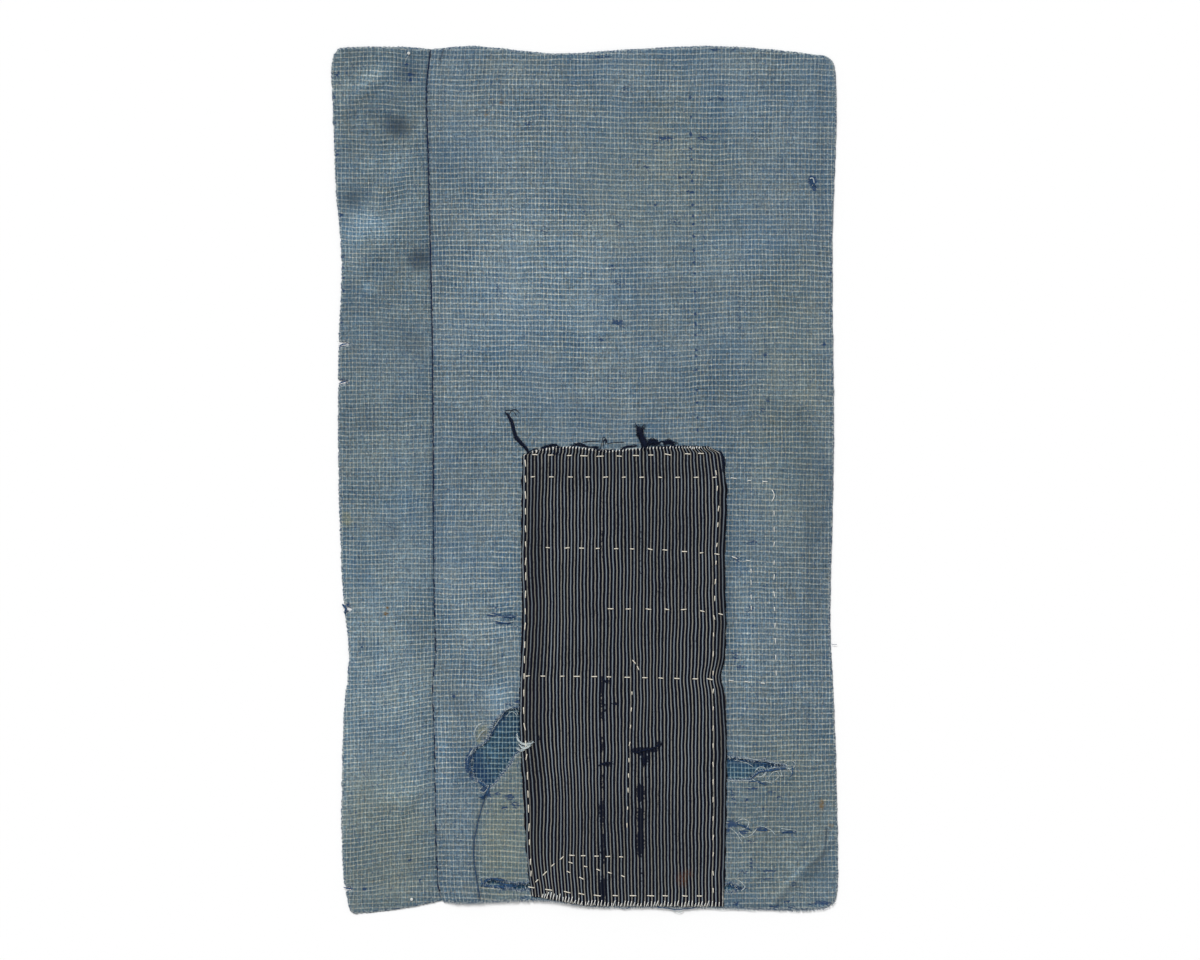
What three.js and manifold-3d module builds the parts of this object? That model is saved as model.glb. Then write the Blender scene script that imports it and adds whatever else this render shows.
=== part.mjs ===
// A boro patched cloth: one narrow-loom width of small indigo check with a narrow
// strip seamed to its left, a striped patch on the face and two mending pieces on
// the reverse. It lies face up. Millimetres: X to the right, Y up the cloth and Z
// off the surface it lies on, with the origin under its middle.

import * as THREE from 'three';
import { mergeVertices } from 'three/addons/utils/BufferGeometryUtils.js';
import Module from 'manifold-3d';

const wasm = await Module();
wasm.setup();

// Cloth thicknesses, with the nap and the slight lift of washed cotton
const CHECK_THICK = 1.1;
const STRIPE_THICK = 1.0;
const BACKING_THICK = 1.0;

// How the layers lie on and beside each other
const LAYER_GAP = 0.3;
const SEAM_GAP = 0.3;
const EDGE_CLEARANCE = 2;
const SLOPE_WIDTH = 12;

// The turned hems along the top and the two long edges; the bottom edge is raw
const HEM_WIDTH = 8;
const HEM_EXTRA = 0.5;

// How finely the sheets are divided
const COARSE_STEP = 24;
const FOLD_STEP = 8;
const SPAN_STEPS = 3;

// Prisms that cut an outline reach this far past the highest fold
const CUT_REACH = 12;
const SLAB_MARGIN = 4;

// The outer edges of the whole cloth and the seam between its two panels, each
// from its first corner to its second
const leftEdge = [
  { x: -204.5, y: 358.6 },
  { x: -208.8, y: 351.5 },
  { x: -210.4, y: 340.0 },
  { x: -208.7, y: 302.0 },
  { x: -206.3, y: 238.0 },
  { x: -201.6, y: 182.5 },
  { x: -204.4, y: 105.0 },
  { x: -203.8, y: -20.0 },
  { x: -200.4, y: -96.0 },
  { x: -195.6, y: -146.0 },
  { x: -199.8, y: -192.0 },
  { x: -201.3, y: -315.0 },
  { x: -197.8, y: -344.0 },
  { x: -194.0, y: -358.0 },
  { x: -190.5, y: -360.2 },
];
const rightEdge = [
  { x: 200.0, y: 352.0 },
  { x: 206.3, y: 346.9 },
  { x: 208.6, y: 330.0 },
  { x: 208.5, y: 280.0 },
  { x: 205.6, y: 200.0 },
  { x: 206.9, y: 24.0 },
  { x: 203.8, y: -120.0 },
  { x: 207.0, y: -186.0 },
  { x: 210.1, y: -300.0 },
  { x: 209.8, y: -338.0 },
  { x: 207.3, y: -350.0 },
  { x: 200.0, y: -355.0 },
];
const seamEdge = [
  { x: -127.7, y: 357.6 },
  { x: -131.1, y: 327.8 },
  { x: -129.9, y: 270.0 },
  { x: -126.3, y: 110.0 },
  { x: -125.0, y: -100.0 },
  { x: -123.8, y: -145.0 },
  { x: -126.2, y: -170.0 },
  { x: -124.6, y: -215.0 },
  { x: -121.8, y: -335.0 },
  { x: -118.3, y: -349.2 },
];
const sideTop = [
  { x: -204.5, y: 358.6 },
  { x: -188.0, y: 359.6 },
  { x: -146.5, y: 359.4 },
  { x: -127.7, y: 357.6 },
];
const mainTop = [
  { x: -127.7, y: 357.6 },
  { x: -92.0, y: 360.2 },
  { x: -24.5, y: 353.8 },
  { x: 28.0, y: 356.9 },
  { x: 100.0, y: 360.2 },
  { x: 160.6, y: 356.9 },
  { x: 200.0, y: 352.0 },
];
const sideBottom = [
  { x: -190.5, y: -360.2 },
  { x: -171.4, y: -358.6 },
  { x: -146.5, y: -355.0 },
  { x: -118.3, y: -349.2 },
];
const mainBottom = [
  { x: -118.3, y: -349.2 },
  { x: -105.0, y: -351.1 },
  { x: -63.0, y: -349.4 },
  { x: -30.0, y: -348.8 },
  { x: 3.0, y: -353.5 },
  { x: 60.0, y: -354.4 },
  { x: 112.0, y: -354.9 },
  { x: 150.0, y: -356.4 },
  { x: 185.5, y: -357.0 },
  { x: 200.0, y: -355.0 },
];

// The striped patch, drawn in a little wherever a row of stitches crosses its edge
const patchTop = [
  { x: -51.5, y: 21.0 },
  { x: -37.0, y: 25.7 },
  { x: -12.0, y: 27.8 },
  { x: 17.0, y: 24.5 },
  { x: 58.5, y: 27.4 },
  { x: 103.0, y: 27.4 },
  { x: 114.0, y: 22.5 },
];
const patchRight = [
  { x: 114.0, y: 22.5 },
  { x: 118.2, y: -8.0 },
  { x: 116.6, y: -60.0 },
  { x: 116.9, y: -146.0 },
  { x: 113.2, y: -163.0 },
  { x: 116.8, y: -180.0 },
  { x: 117.2, y: -300.0 },
  { x: 115.5, y: -353.6 },
];
const patchLeft = [
  { x: -51.5, y: 21.0 },
  { x: -52.6, y: -60.0 },
  { x: -51.8, y: -108.0 },
  { x: -54.0, y: -195.0 },
  { x: -50.5, y: -271.0 },
  { x: -47.5, y: -318.0 },
  { x: -44.0, y: -345.5 },
];
const patchBottom = [
  { x: -44.0, y: -345.5 },
  { x: -30.0, y: -347.2 },
  { x: 0.0, y: -352.6 },
  { x: 50.0, y: -353.4 },
  { x: 115.5, y: -353.6 },
];

// What is worn through the main panel, each outline taken clockwise
const wornHole = [
  { x: -48.0, y: -188.0 },
  { x: -48.0, y: -222.0 },
  { x: -55.5, y: -224.5 },
  { x: -65.0, y: -238.5 },
  { x: -73.5, y: -250.0 },
  { x: -79.0, y: -256.0 },
  { x: -89.0, y: -248.5 },
  { x: -94.8, y: -237.5 },
  { x: -91.5, y: -224.5 },
  { x: -81.0, y: -215.5 },
  { x: -74.5, y: -201.5 },
  { x: -65.5, y: -190.3 },
];
const tornSlit = [
  { x: 110.0, y: -230.0 },
  { x: 136.0, y: -231.5 },
  { x: 153.5, y: -234.0 },
  { x: 167.5, y: -237.2 },
  { x: 153.0, y: -239.3 },
  { x: 145.0, y: -240.0 },
  { x: 138.0, y: -248.3 },
  { x: 110.0, y: -247.8 },
];
const lowSlit = [
  { x: -85.0, y: -334.8 },
  { x: -78.5, y: -331.2 },
  { x: -68.0, y: -331.4 },
  { x: -58.0, y: -334.0 },
  { x: -40.0, y: -333.6 },
  { x: -40.0, y: -338.8 },
  { x: -70.0, y: -338.8 },
];
const smallHole = [
  { x: 112.0, y: -334.5 },
  { x: 120.5, y: -334.0 },
  { x: 127.5, y: -337.5 },
  { x: 121.0, y: -341.5 },
  { x: 112.0, y: -341.0 },
];

// Nicks worn into the strip's turned edge: where each is, how deep and how tall
const nicks = [
  { y: 112.9, tipX: -195.5, height: 4.2 },
  { y: 81.3, tipX: -196.5, height: 4.0 },
  { y: -107.1, tipX: -193.0, height: 5.0 },
  { y: -339.5, tipX: -193.8, height: 4.6 },
];
const NICK_MOUTH = 12;

// The creases that still stand after the cloth is laid out: the middle of each, the
// way it runs from +X, its length, its full width and its height
const sideFolds = [
  { x: -180, y: 325, angle: 40, length: 70, width: 18, height: 2.5 },
  { x: -162, y: 243, angle: 58, length: 112, width: 28, height: 3.0 },
  { x: -167, y: -159, angle: 20, length: 46, width: 20, height: 1.5 },
  { x: -148, y: -270, angle: 56, length: 66, width: 18, height: 2.2 },
];
const mainFolds = [
  { x: 197, y: -20, angle: 90, length: 230, width: 22, height: 1.4 },
  { x: 183, y: -326, angle: 45, length: 66, width: 16, height: 1.5 },
  { x: -84, y: -150, angle: 78, length: 90, width: 26, height: 1.6 },
];

// The two mending pieces on the reverse
const backings = {
  upper: { left: -53.5, right: 161.5, top: 7.5, bottom: -171.0 },
  lower: { left: -104.0, right: 179.5, top: -181.0, bottom: -346.0 },
};
const BACKING_UNEVEN = 1.2;
const BACKING_WAVE = 60;

// Frayed ends of the patch, each a twisted lock of warp ends lying on the check
const FRAY_RADIUS = 1.2;
const frayedTail = [
  { x: -45.5, y: 20.0 },
  { x: -50.9, y: 29.4 },
  { x: -56.4, y: 34.9 },
  { x: -58.3, y: 40.7 },
  { x: -60.2, y: 47.9 },
  { x: -65.2, y: 56.5 },
];
const frayedTuft = [
  { x: 56.0, y: 22.0 },
  { x: 51.5, y: 29.5 },
  { x: 48.5, y: 36.0 },
  { x: 45.0, y: 43.5 },
];

// Rises from nothing at 0 to 1 at 1, level at both ends
function ease(t) {
  const clamped = Math.min(Math.max(t, 0), 1);
  return clamped * clamped * (3 - 2 * clamped);
}

// How far the check is lifted by the mending pieces that lie under it
function backingLift(x, y) {
  const shares = Object.values(backings).map((piece) => {
    const outsideX = Math.max(piece.left - x, x - piece.right) - EDGE_CLEARANCE;
    const outsideY = Math.max(piece.bottom - y, y - piece.top) - EDGE_CLEARANCE;
    return ease(1 - outsideX / SLOPE_WIDTH) * ease(1 - outsideY / SLOPE_WIDTH);
  });
  return (BACKING_THICK + LAYER_GAP) * Math.max(...shares);
}

// How far the check stands off the surface in its creases
function foldLift(folds, x, y) {
  return folds.reduce((lift, fold) => {
    const turn = THREE.MathUtils.degToRad(fold.angle);
    const dx = x - fold.x;
    const dy = y - fold.y;
    const along = Math.abs(dx * Math.cos(turn) + dy * Math.sin(turn)) / (fold.length / 2);
    const across = Math.abs(dy * Math.cos(turn) - dx * Math.sin(turn)) / (fold.width / 2);
    return lift + fold.height * ease(1 - along) * ease(1 - across);
  }, 0);
}

const sideUnderside = (x, y) => backingLift(x, y) + foldLift(sideFolds, x, y);
const mainUnderside = (x, y) => backingLift(x, y) + foldLift(mainFolds, x, y);
const patchUnderside = (x, y) => mainUnderside(x, y) + CHECK_THICK + LAYER_GAP;

// A smooth edge through the rows of a table, moved sideways by shiftX. Its tangents
// suit rows that are close together at the corners and far apart between them
function edgePoints(rows, shiftX = 0) {
  const places = rows.map((row) => new THREE.Vector3(row.x + shiftX, row.y, 0));
  const curve = new THREE.CatmullRomCurve3(places, false, 'centripetal');
  return curve.getPoints(SPAN_STEPS * (rows.length - 1)).map((place) => new THREE.Vector2(place.x, place.y));
}

// Joins edges that share their corners into one closed outline
function joinEdges(edges) {
  return edges.flatMap((points) => points.slice(0, -1));
}

// A closed three.js geometry as a solid that can be joined and cut
function solidOf(geometry) {
  geometry.deleteAttribute('normal');
  geometry.deleteAttribute('uv');
  const merged = mergeVertices(geometry);
  const vertProperties = new Float32Array(merged.attributes.position.array);
  const triVerts = new Uint32Array(merged.index.array);
  return new wasm.Manifold(new wasm.Mesh({ numProp: 3, vertProperties, triVerts }));
}

// An upright prism with the given outline, from below the cloth to above it
function prism(points, bottom = -CUT_REACH, top = CUT_REACH) {
  const geometry = new THREE.ExtrudeGeometry(new THREE.Shape(points), {
    depth: top - bottom,
    bevelEnabled: false,
  });
  geometry.translate(0, 0, bottom);
  return solidOf(geometry);
}

// The band of a hem, from an edge to the same edge moved across the cloth
function hemBand(edge, across, along) {
  const inner = edge.map((point) => new THREE.Vector2(point.x + across, point.y + along));
  return prism([...edge, ...inner.reverse()]);
}

// A panel cut to its outline from the slab of its grid, thicker along its hems
function hemmedPanel(xs, ys, underside, outline, hems) {
  const shape = prism(outline);
  const turned = hems.reduce((whole, hem) => whole.add(hem)).intersect(shape);
  const raised = slab(xs, ys, underside, CHECK_THICK + HEM_EXTRA).intersect(turned);
  return slab(xs, ys, underside, CHECK_THICK).intersect(shape).add(raised);
}

// Grid lines from start to end, with a line at each stop and finer steps in zones
function gridLines(start, end, stops, zones) {
  const marks = [start, end, ...stops, ...zones.flatMap((zone) => [zone.from, zone.to])]
    .filter((mark) => mark >= start && mark <= end)
    .sort((a, b) => a - b);
  const lines = [start];
  marks.slice(1).forEach((to, i) => {
    const from = marks[i];
    const middle = (from + to) / 2;
    const isFine = zones.some((zone) => middle > zone.from && middle < zone.to);
    const count = Math.ceil((to - from) / (isFine ? FOLD_STEP : COARSE_STEP));
    for (let k = 1; k <= count; k += 1) lines.push(from + ((to - from) * k) / count);
  });
  return lines;
}

// The stretch of grid lines that covers a piece, one line past each of its ends
function linesOver(lines, low, high) {
  const first = lines.findLastIndex((line) => line < low);
  const last = lines.findIndex((line) => line > high);
  return lines.slice(first, last + 1);
}

// A slab of even thickness over the grid, its underside at the given height
function slab(xs, ys, underside, thickness) {
  const positions = [];
  for (const rise of [0, thickness]) {
    for (const y of ys) {
      for (const x of xs) positions.push(x, y, underside(x, y) + rise);
    }
  }
  const columns = xs.length;
  const layer = columns * ys.length;
  const index = [];
  const addQuad = (a, b, c, d) => index.push(a, b, c, a, c, d);
  for (let j = 0; j + 1 < ys.length; j += 1) {
    for (let i = 0; i + 1 < columns; i += 1) {
      const a = j * columns + i;
      addQuad(a + layer, a + 1 + layer, a + 1 + columns + layer, a + columns + layer);
      index.push(a, a + 1 + columns, a + 1, a, a + columns, a + 1 + columns);
    }
  }
  const lastRow = (ys.length - 1) * columns;
  for (let i = 0; i + 1 < columns; i += 1) {
    addQuad(i, i + 1, i + 1 + layer, i + layer);
    addQuad(lastRow + i + 1, lastRow + i, lastRow + i + layer, lastRow + i + 1 + layer);
  }
  for (let j = 0; j + 1 < ys.length; j += 1) {
    const west = j * columns;
    const east = west + columns - 1;
    addQuad(west + columns, west, west + layer, west + columns + layer);
    addQuad(east, east + columns, east + columns + layer, east + layer);
  }
  const geometry = new THREE.BufferGeometry();
  geometry.setAttribute('position', new THREE.Float32BufferAttribute(positions, 3));
  geometry.setIndex(index);
  return solidOf(geometry);
}

// A named mesh of one finished solid
function clothMesh(name, solid, color) {
  const result = solid.getMesh();
  const geometry = new THREE.BufferGeometry();
  geometry.setAttribute('position', new THREE.BufferAttribute(result.vertProperties, 3));
  geometry.setIndex(new THREE.BufferAttribute(result.triVerts, 1));
  geometry.computeVertexNormals();
  const material = new THREE.MeshStandardMaterial({ color, roughness: 0.92, metalness: 0 });
  const mesh = new THREE.Mesh(geometry, material);
  mesh.name = name;
  return mesh;
}

// Turns a crease table into the stretches of y where the grid is finer
function foldZones(folds) {
  return folds.map((fold) => {
    const reach = (fold.length / 2) * Math.sin(THREE.MathUtils.degToRad(fold.angle));
    return { from: fold.y - reach, to: fold.y + reach };
  });
}

// Where the check starts and ends its slope over a mending piece, along one axis
function slopeStops(low, high) {
  const near = EDGE_CLEARANCE;
  const far = EDGE_CLEARANCE + SLOPE_WIDTH;
  const half = (near + far) / 2;
  return [low - far, low - half, low - near, high + near, high + half, high + far];
}

// The narrow strip on the left, with the nicks in its outer edge
function makeSidePanel() {
  const top = edgePoints(sideTop, -SEAM_GAP / 2);
  const outer = edgePoints(leftEdge, -SEAM_GAP / 2);
  const outline = joinEdges([
    top,
    edgePoints(seamEdge, -SEAM_GAP / 2),
    edgePoints(sideBottom, -SEAM_GAP / 2).reverse(),
    outer.toReversed(),
  ]);
  const across = outline.map((point) => point.x);
  const along = outline.map((point) => point.y);
  const left = Math.min(...across) - SLAB_MARGIN;
  const right = Math.max(...across) + SLAB_MARGIN;
  const xs = gridLines(left, right, [], [{ from: left, to: right }]);
  const ys = gridLines(
    Math.min(...along) - SLAB_MARGIN,
    Math.max(...along) + SLAB_MARGIN,
    slopeStops(backings.lower.bottom, backings.lower.top),
    foldZones(sideFolds),
  );
  const hems = [hemBand(top, 0, -HEM_WIDTH), hemBand(outer, HEM_WIDTH, 0)];
  let solid = hemmedPanel(xs, ys, sideUnderside, outline, hems);
  for (const nick of nicks) {
    const mouth = nick.tipX - NICK_MOUTH;
    const wedge = prism([
      new THREE.Vector2(mouth, nick.y - nick.height / 2),
      new THREE.Vector2(nick.tipX, nick.y - nick.height / 4),
      new THREE.Vector2(nick.tipX, nick.y + nick.height / 4),
      new THREE.Vector2(mouth, nick.y + nick.height / 2),
    ]);
    solid = solid.subtract(wedge);
  }
  return clothMesh('side_panel', solid, 0x6a7a80);
}

// The grid that the main panel and the patch on it share, so that both take the
// same creases
const mainXs = gridLines(
  seamEdge[1].x - SLAB_MARGIN,
  rightEdge[8].x + SLAB_MARGIN,
  [
    ...slopeStops(backings.upper.left, backings.upper.right),
    ...slopeStops(backings.lower.left, backings.lower.right),
  ],
  [],
);
const mainYs = gridLines(
  leftEdge[leftEdge.length - 1].y - SLAB_MARGIN,
  mainTop[1].y + SLAB_MARGIN,
  [
    ...slopeStops(backings.upper.bottom, backings.upper.top),
    ...slopeStops(backings.lower.bottom, backings.lower.top),
  ],
  [],
);

// The loom-width panel, worn through beside the patch
function makeMainPanel() {
  const top = edgePoints(mainTop, SEAM_GAP / 2);
  const outer = edgePoints(rightEdge, SEAM_GAP / 2);
  const outline = joinEdges([
    top,
    outer,
    edgePoints(mainBottom, SEAM_GAP / 2).reverse(),
    edgePoints(seamEdge, SEAM_GAP / 2).reverse(),
  ]);
  const hems = [hemBand(top, 0, -HEM_WIDTH), hemBand(outer, -HEM_WIDTH, 0)];
  let solid = hemmedPanel(mainXs, mainYs, mainUnderside, outline, hems);
  for (const opening of [wornHole, tornSlit, lowSlit, smallHole]) {
    solid = solid.subtract(prism(opening.map((row) => new THREE.Vector2(row.x, row.y))));
  }
  return clothMesh('main_panel', solid, 0x6c7c86);
}

// A frayed lock that lies on the check, from inside the patch to its free end
function frayedLock(rows) {
  const path = new THREE.CatmullRomCurve3(
    rows.map((row) => new THREE.Vector3(row.x, row.y, patchUnderside(row.x, row.y) + FRAY_RADIUS)),
  );
  const section = new THREE.Shape();
  section.absarc(0, 0, FRAY_RADIUS, 0, 2 * Math.PI);
  return solidOf(
    new THREE.ExtrudeGeometry(section, { curveSegments: 3, steps: 8, bevelEnabled: false, extrudePath: path }),
  );
}

// The striped patch on the face
function makePatch() {
  const outline = joinEdges([
    edgePoints(patchTop),
    edgePoints(patchRight),
    edgePoints(patchBottom).reverse(),
    edgePoints(patchLeft).reverse(),
  ]);
  const across = outline.map((point) => point.x);
  const along = outline.map((point) => point.y);
  const xs = linesOver(mainXs, Math.min(...across), Math.max(...across));
  const ys = linesOver(mainYs, Math.min(...along), Math.max(...along));
  const solid = slab(xs, ys, patchUnderside, STRIPE_THICK)
    .intersect(prism(outline))
    .add(frayedLock(frayedTail))
    .add(frayedLock(frayedTuft));
  return clothMesh('striped_patch', solid, 0x3c3f49);
}

// A mending piece on the reverse, flat, with edges as uneven as a hand cut
function makeBacking(name, piece) {
  const corners = [
    new THREE.Vector2(piece.left, piece.top),
    new THREE.Vector2(piece.right, piece.top),
    new THREE.Vector2(piece.right, piece.bottom),
    new THREE.Vector2(piece.left, piece.bottom),
  ];
  const outline = corners.flatMap((corner, i) => {
    const next = corners[(i + 1) % corners.length];
    const run = next.clone().sub(corner);
    const count = Math.round(run.length() / BACKING_WAVE);
    const inward = new THREE.Vector2(run.y, -run.x).normalize();
    return Array.from({ length: count }, (_, k) => {
      const dip = (BACKING_UNEVEN / 2) * (1 + Math.sin(2 * k + i));
      return corner.clone().addScaledVector(run, k / count).addScaledVector(inward, k === 0 ? 0 : dip);
    });
  });
  return clothMesh(name, prism(outline, 0, BACKING_THICK), 0x42576a);
}

const cloth = new THREE.Group();
cloth.add(makeSidePanel());
cloth.add(makeMainPanel());
cloth.add(makePatch());
cloth.add(makeBacking('backing_upper', backings.upper));
cloth.add(makeBacking('backing_lower', backings.lower));

export default cloth;
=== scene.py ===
from math import cos, pi, radians, sin

import bmesh
import bpy
import numpy as np
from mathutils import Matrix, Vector, kdtree
from mathutils.geometry import delaunay_2d_cdt


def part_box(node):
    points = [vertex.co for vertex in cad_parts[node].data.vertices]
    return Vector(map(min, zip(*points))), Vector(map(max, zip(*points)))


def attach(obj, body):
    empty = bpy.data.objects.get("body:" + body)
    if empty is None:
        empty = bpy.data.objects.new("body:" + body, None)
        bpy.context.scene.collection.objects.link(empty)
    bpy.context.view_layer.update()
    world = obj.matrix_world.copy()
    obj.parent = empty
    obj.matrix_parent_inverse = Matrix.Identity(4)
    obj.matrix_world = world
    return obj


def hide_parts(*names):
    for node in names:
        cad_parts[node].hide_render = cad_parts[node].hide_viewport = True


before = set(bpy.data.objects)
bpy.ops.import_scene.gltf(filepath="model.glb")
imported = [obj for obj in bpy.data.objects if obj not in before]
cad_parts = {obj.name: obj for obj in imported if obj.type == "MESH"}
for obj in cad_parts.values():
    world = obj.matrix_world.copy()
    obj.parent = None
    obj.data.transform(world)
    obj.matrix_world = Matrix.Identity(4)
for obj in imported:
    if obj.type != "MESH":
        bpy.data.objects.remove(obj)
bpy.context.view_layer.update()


# The cloth lies face up on a plain white surface under soft studio light from the
# upper left, and the camera looks straight down on it. Sizes here are millimetres.
MM = 0.001
CAMERA_X = 12.9
CAMERA_HEIGHT = 2767
LENS = 100
SENSOR = 36
FLOOR_REACH = 9000
FLOOR_WHITE = (0.93, 0.93, 0.93, 1)
FLOOR_ROUGHNESS = 0.9
SKY_STRENGTH = 0.56
KEY_STRENGTH = 2.55
KEY_SPREAD = radians(22)
KEY_TILT = (radians(-46), radians(-24), 0)

scene = bpy.context.scene
scene.view_settings.view_transform = "Standard"

camera = bpy.data.objects.new("camera", bpy.data.cameras.new("camera"))
camera.data.lens = LENS
camera.data.sensor_width = SENSOR
camera.location = (CAMERA_X * MM, 0, CAMERA_HEIGHT * MM)
scene.collection.objects.link(camera)
scene.camera = camera

world = bpy.data.worlds.new("studio")
world.use_nodes = True
sky = world.node_tree.nodes["Background"].inputs
sky["Color"].default_value = (1, 1, 1, 1)
sky["Strength"].default_value = SKY_STRENGTH
scene.world = world

key = bpy.data.objects.new("key_light", bpy.data.lights.new("key_light", "SUN"))
key.data.energy = KEY_STRENGTH
key.data.angle = KEY_SPREAD
key.rotation_euler = KEY_TILT
scene.collection.objects.link(key)

floor_mesh = bpy.data.meshes.new("surface")
floor_corners = FLOOR_REACH * MM * np.array([(-1, -1, 0), (1, -1, 0), (1, 1, 0), (-1, 1, 0)])
floor_mesh.from_pydata(floor_corners.tolist(), [], [(0, 1, 2, 3)])
floor_paint = bpy.data.materials.new("white_surface")
floor_paint.use_nodes = True
floor_look = floor_paint.node_tree.nodes["Principled BSDF"].inputs
floor_look["Base Color"].default_value = FLOOR_WHITE
floor_look["Roughness"].default_value = FLOOR_ROUGHNESS
floor_mesh.materials.append(floor_paint)
floor = bpy.data.objects.new("surface", floor_mesh)
scene.collection.objects.link(floor)


# The lower mending piece is an offcut of the same check, sewn to the reverse before
# it could fade, so it is still dark indigo where it shows through the worn holes.
WELD = 1e-6
UNDER_TILT = -0.3
EDGE_STEP = 0.9
EDGE_WAVE = 9
FUZZ_WAVE = 1.3
RIM_INSET = 0.8
RIM_MARK = 12
EDGE_DROP = 0.45
EDGE_LIFT = 0.15
GRID_STEP = 3.0
LINE_STEP = 1.3
REST_GAP = 0.03
CLOTH = 0.7
DARK_ROUGHNESS = 0.92
ENDS = 5
PICKS = 7


def srgb(red, green, blue):
    """A colour as it shows on a screen, 0 to 255, as the shader takes it."""
    linear = [((c / 255 + 0.055) / 1.055) ** 2.4 for c in (red, green, blue)]
    return (*linear, 1)


def ease(t):
    """0 below 0, 1 above 1, and level at both ends."""
    t = np.clip(t, 0, 1)
    return t * t * (3 - 2 * t)


def drift(x, y, size, seed):
    """A smooth random field of about -1 to 1 whose swells are size mm across."""
    dice = np.random.default_rng(seed)
    total = np.zeros_like(np.asarray(x, float))
    waves = 12
    for _ in range(waves):
        heading = dice.uniform(0, 2 * pi)
        rate = 2 * pi / (size * dice.uniform(1.2, 2.8))
        total += np.sin(rate * (x * cos(heading) + y * sin(heading)) + dice.uniform(0, 2 * pi))
    return total / (0.5 * waves) ** 0.5 / 1.6


def solid_outlines(node):
    """The loops of (x, y) round the underside of a node's solid, in mm, the longest first."""
    welded = bmesh.new()
    welded.from_mesh(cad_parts[node].data)
    bmesh.ops.remove_doubles(welded, verts=welded.verts, dist=WELD)
    welded.normal_update()
    follows = {}
    for face in welded.faces:
        if face.normal.z > UNDER_TILT:
            continue
        for corner in face.loops:
            if corner.link_loop_radial_next.face.normal.z > UNDER_TILT:
                follows.setdefault(corner.link_loop_next.vert, []).append(corner.vert)
    loops = []
    while follows:
        loop = [next(iter(follows))]
        while loop[-1] in follows:
            place = loop[-1]
            loop.append(follows[place].pop())
            if not follows[place]:
                del follows[place]
        loops.append(np.array([(vert.co.x, vert.co.y) for vert in loop[1:]]) / MM)
    welded.free()
    return sorted(loops, key=lambda loop: -len(resample(loop, EDGE_STEP)))


def resample(loop, step):
    """The closed loop with its points evenly spaced."""
    ring = np.vstack([loop, loop[:1]])
    run = np.concatenate([[0], np.cumsum(np.hypot(*np.diff(ring, axis=0).T))])
    stops = np.linspace(0, run[-1], max(int(run[-1] / step), 8), endpoint=False)
    return np.column_stack([np.interp(stops, run, ring[:, axis]) for axis in (0, 1)])


def outward(loop):
    """The direction out of the cloth at each point of a loop."""
    along = np.roll(loop, -1, axis=0) - np.roll(loop, 1, axis=0)
    along /= np.maximum(np.hypot(*along.T), 1e-9)[:, None]
    return np.column_stack([along[:, 1], -along[:, 0]])


def worn_edge(loop, soften, depth, fray, seed):
    """A cut edge after wear: its corners softened, and uneven by depth mm with fray mm of fuzz."""
    loop = resample(loop, EDGE_STEP)
    for _ in range(int((soften / EDGE_STEP) ** 2)):
        loop = (np.roll(loop, 1, axis=0) + 2 * loop + np.roll(loop, -1, axis=0)) / 4
    x, y = loop.T
    push = depth * drift(x, y, EDGE_WAVE, seed) + fray * drift(x, y, FUZZ_WAVE, seed + 1)
    return loop + outward(loop) * push[:, None]


def edge_part(loop, chosen, axis):
    """The chosen points of a loop, in order along X (0) or Y (1)."""
    part = loop[chosen]
    return part[np.argsort(part[:, axis])]


def inside(points, loops):
    """Whether each point lies inside an odd number of the loops."""
    hits = np.zeros(len(points), int)
    for loop in loops:
        after = np.roll(loop, -1, axis=0)
        for some in np.array_split(np.arange(len(points)), max(1, len(points) // 2000)):
            x, y = points[some, 0, None], points[some, 1, None]
            spans = (loop[:, 1] > y) != (after[:, 1] > y)
            rise = np.where(after[:, 1] == loop[:, 1], 1, after[:, 1] - loop[:, 1])
            crossing = loop[:, 0] + (y - loop[:, 1]) / rise * (after[:, 0] - loop[:, 0])
            hits[some] += (spans & (x < crossing)).sum(axis=1)
    return hits % 2 == 1


def add_object(name, mesh, finish):
    """A finished mesh as a piece that rides with the cloth."""
    mesh.materials.append(finish)
    mesh.shade_smooth()
    piece = bpy.data.objects.new(name, mesh)
    scene.collection.objects.link(piece)
    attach(piece, "root")
    return piece


def along_path(points, step):
    """An open path through the points, evenly spaced and rounded at its corners."""
    points = np.asarray(points, float)
    run = np.concatenate([[0], np.cumsum(np.linalg.norm(np.diff(points, axis=0), axis=1))])
    stops = np.linspace(0, run[-1], max(int(run[-1] / step), 2) + 1)
    path = np.column_stack([np.interp(stops, run, column) for column in points.T])
    for _ in range(8):
        path[1:-1] = (path[:-2] + 2 * path[1:-1] + path[2:]) / 4
    return path


def near_lines(lines):
    """A field that is strongest on thin lines. Each has its points, half width and strength."""
    def field(x, y):
        total = 0 * x
        for points, width, strength in lines:
            for place in along_path(points, 1.0):
                apart = (x - place[0]) ** 2 + (y - place[1]) ** 2
                total = np.maximum(total, strength * np.exp(-apart / width**2))
        return total
    return field


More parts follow.
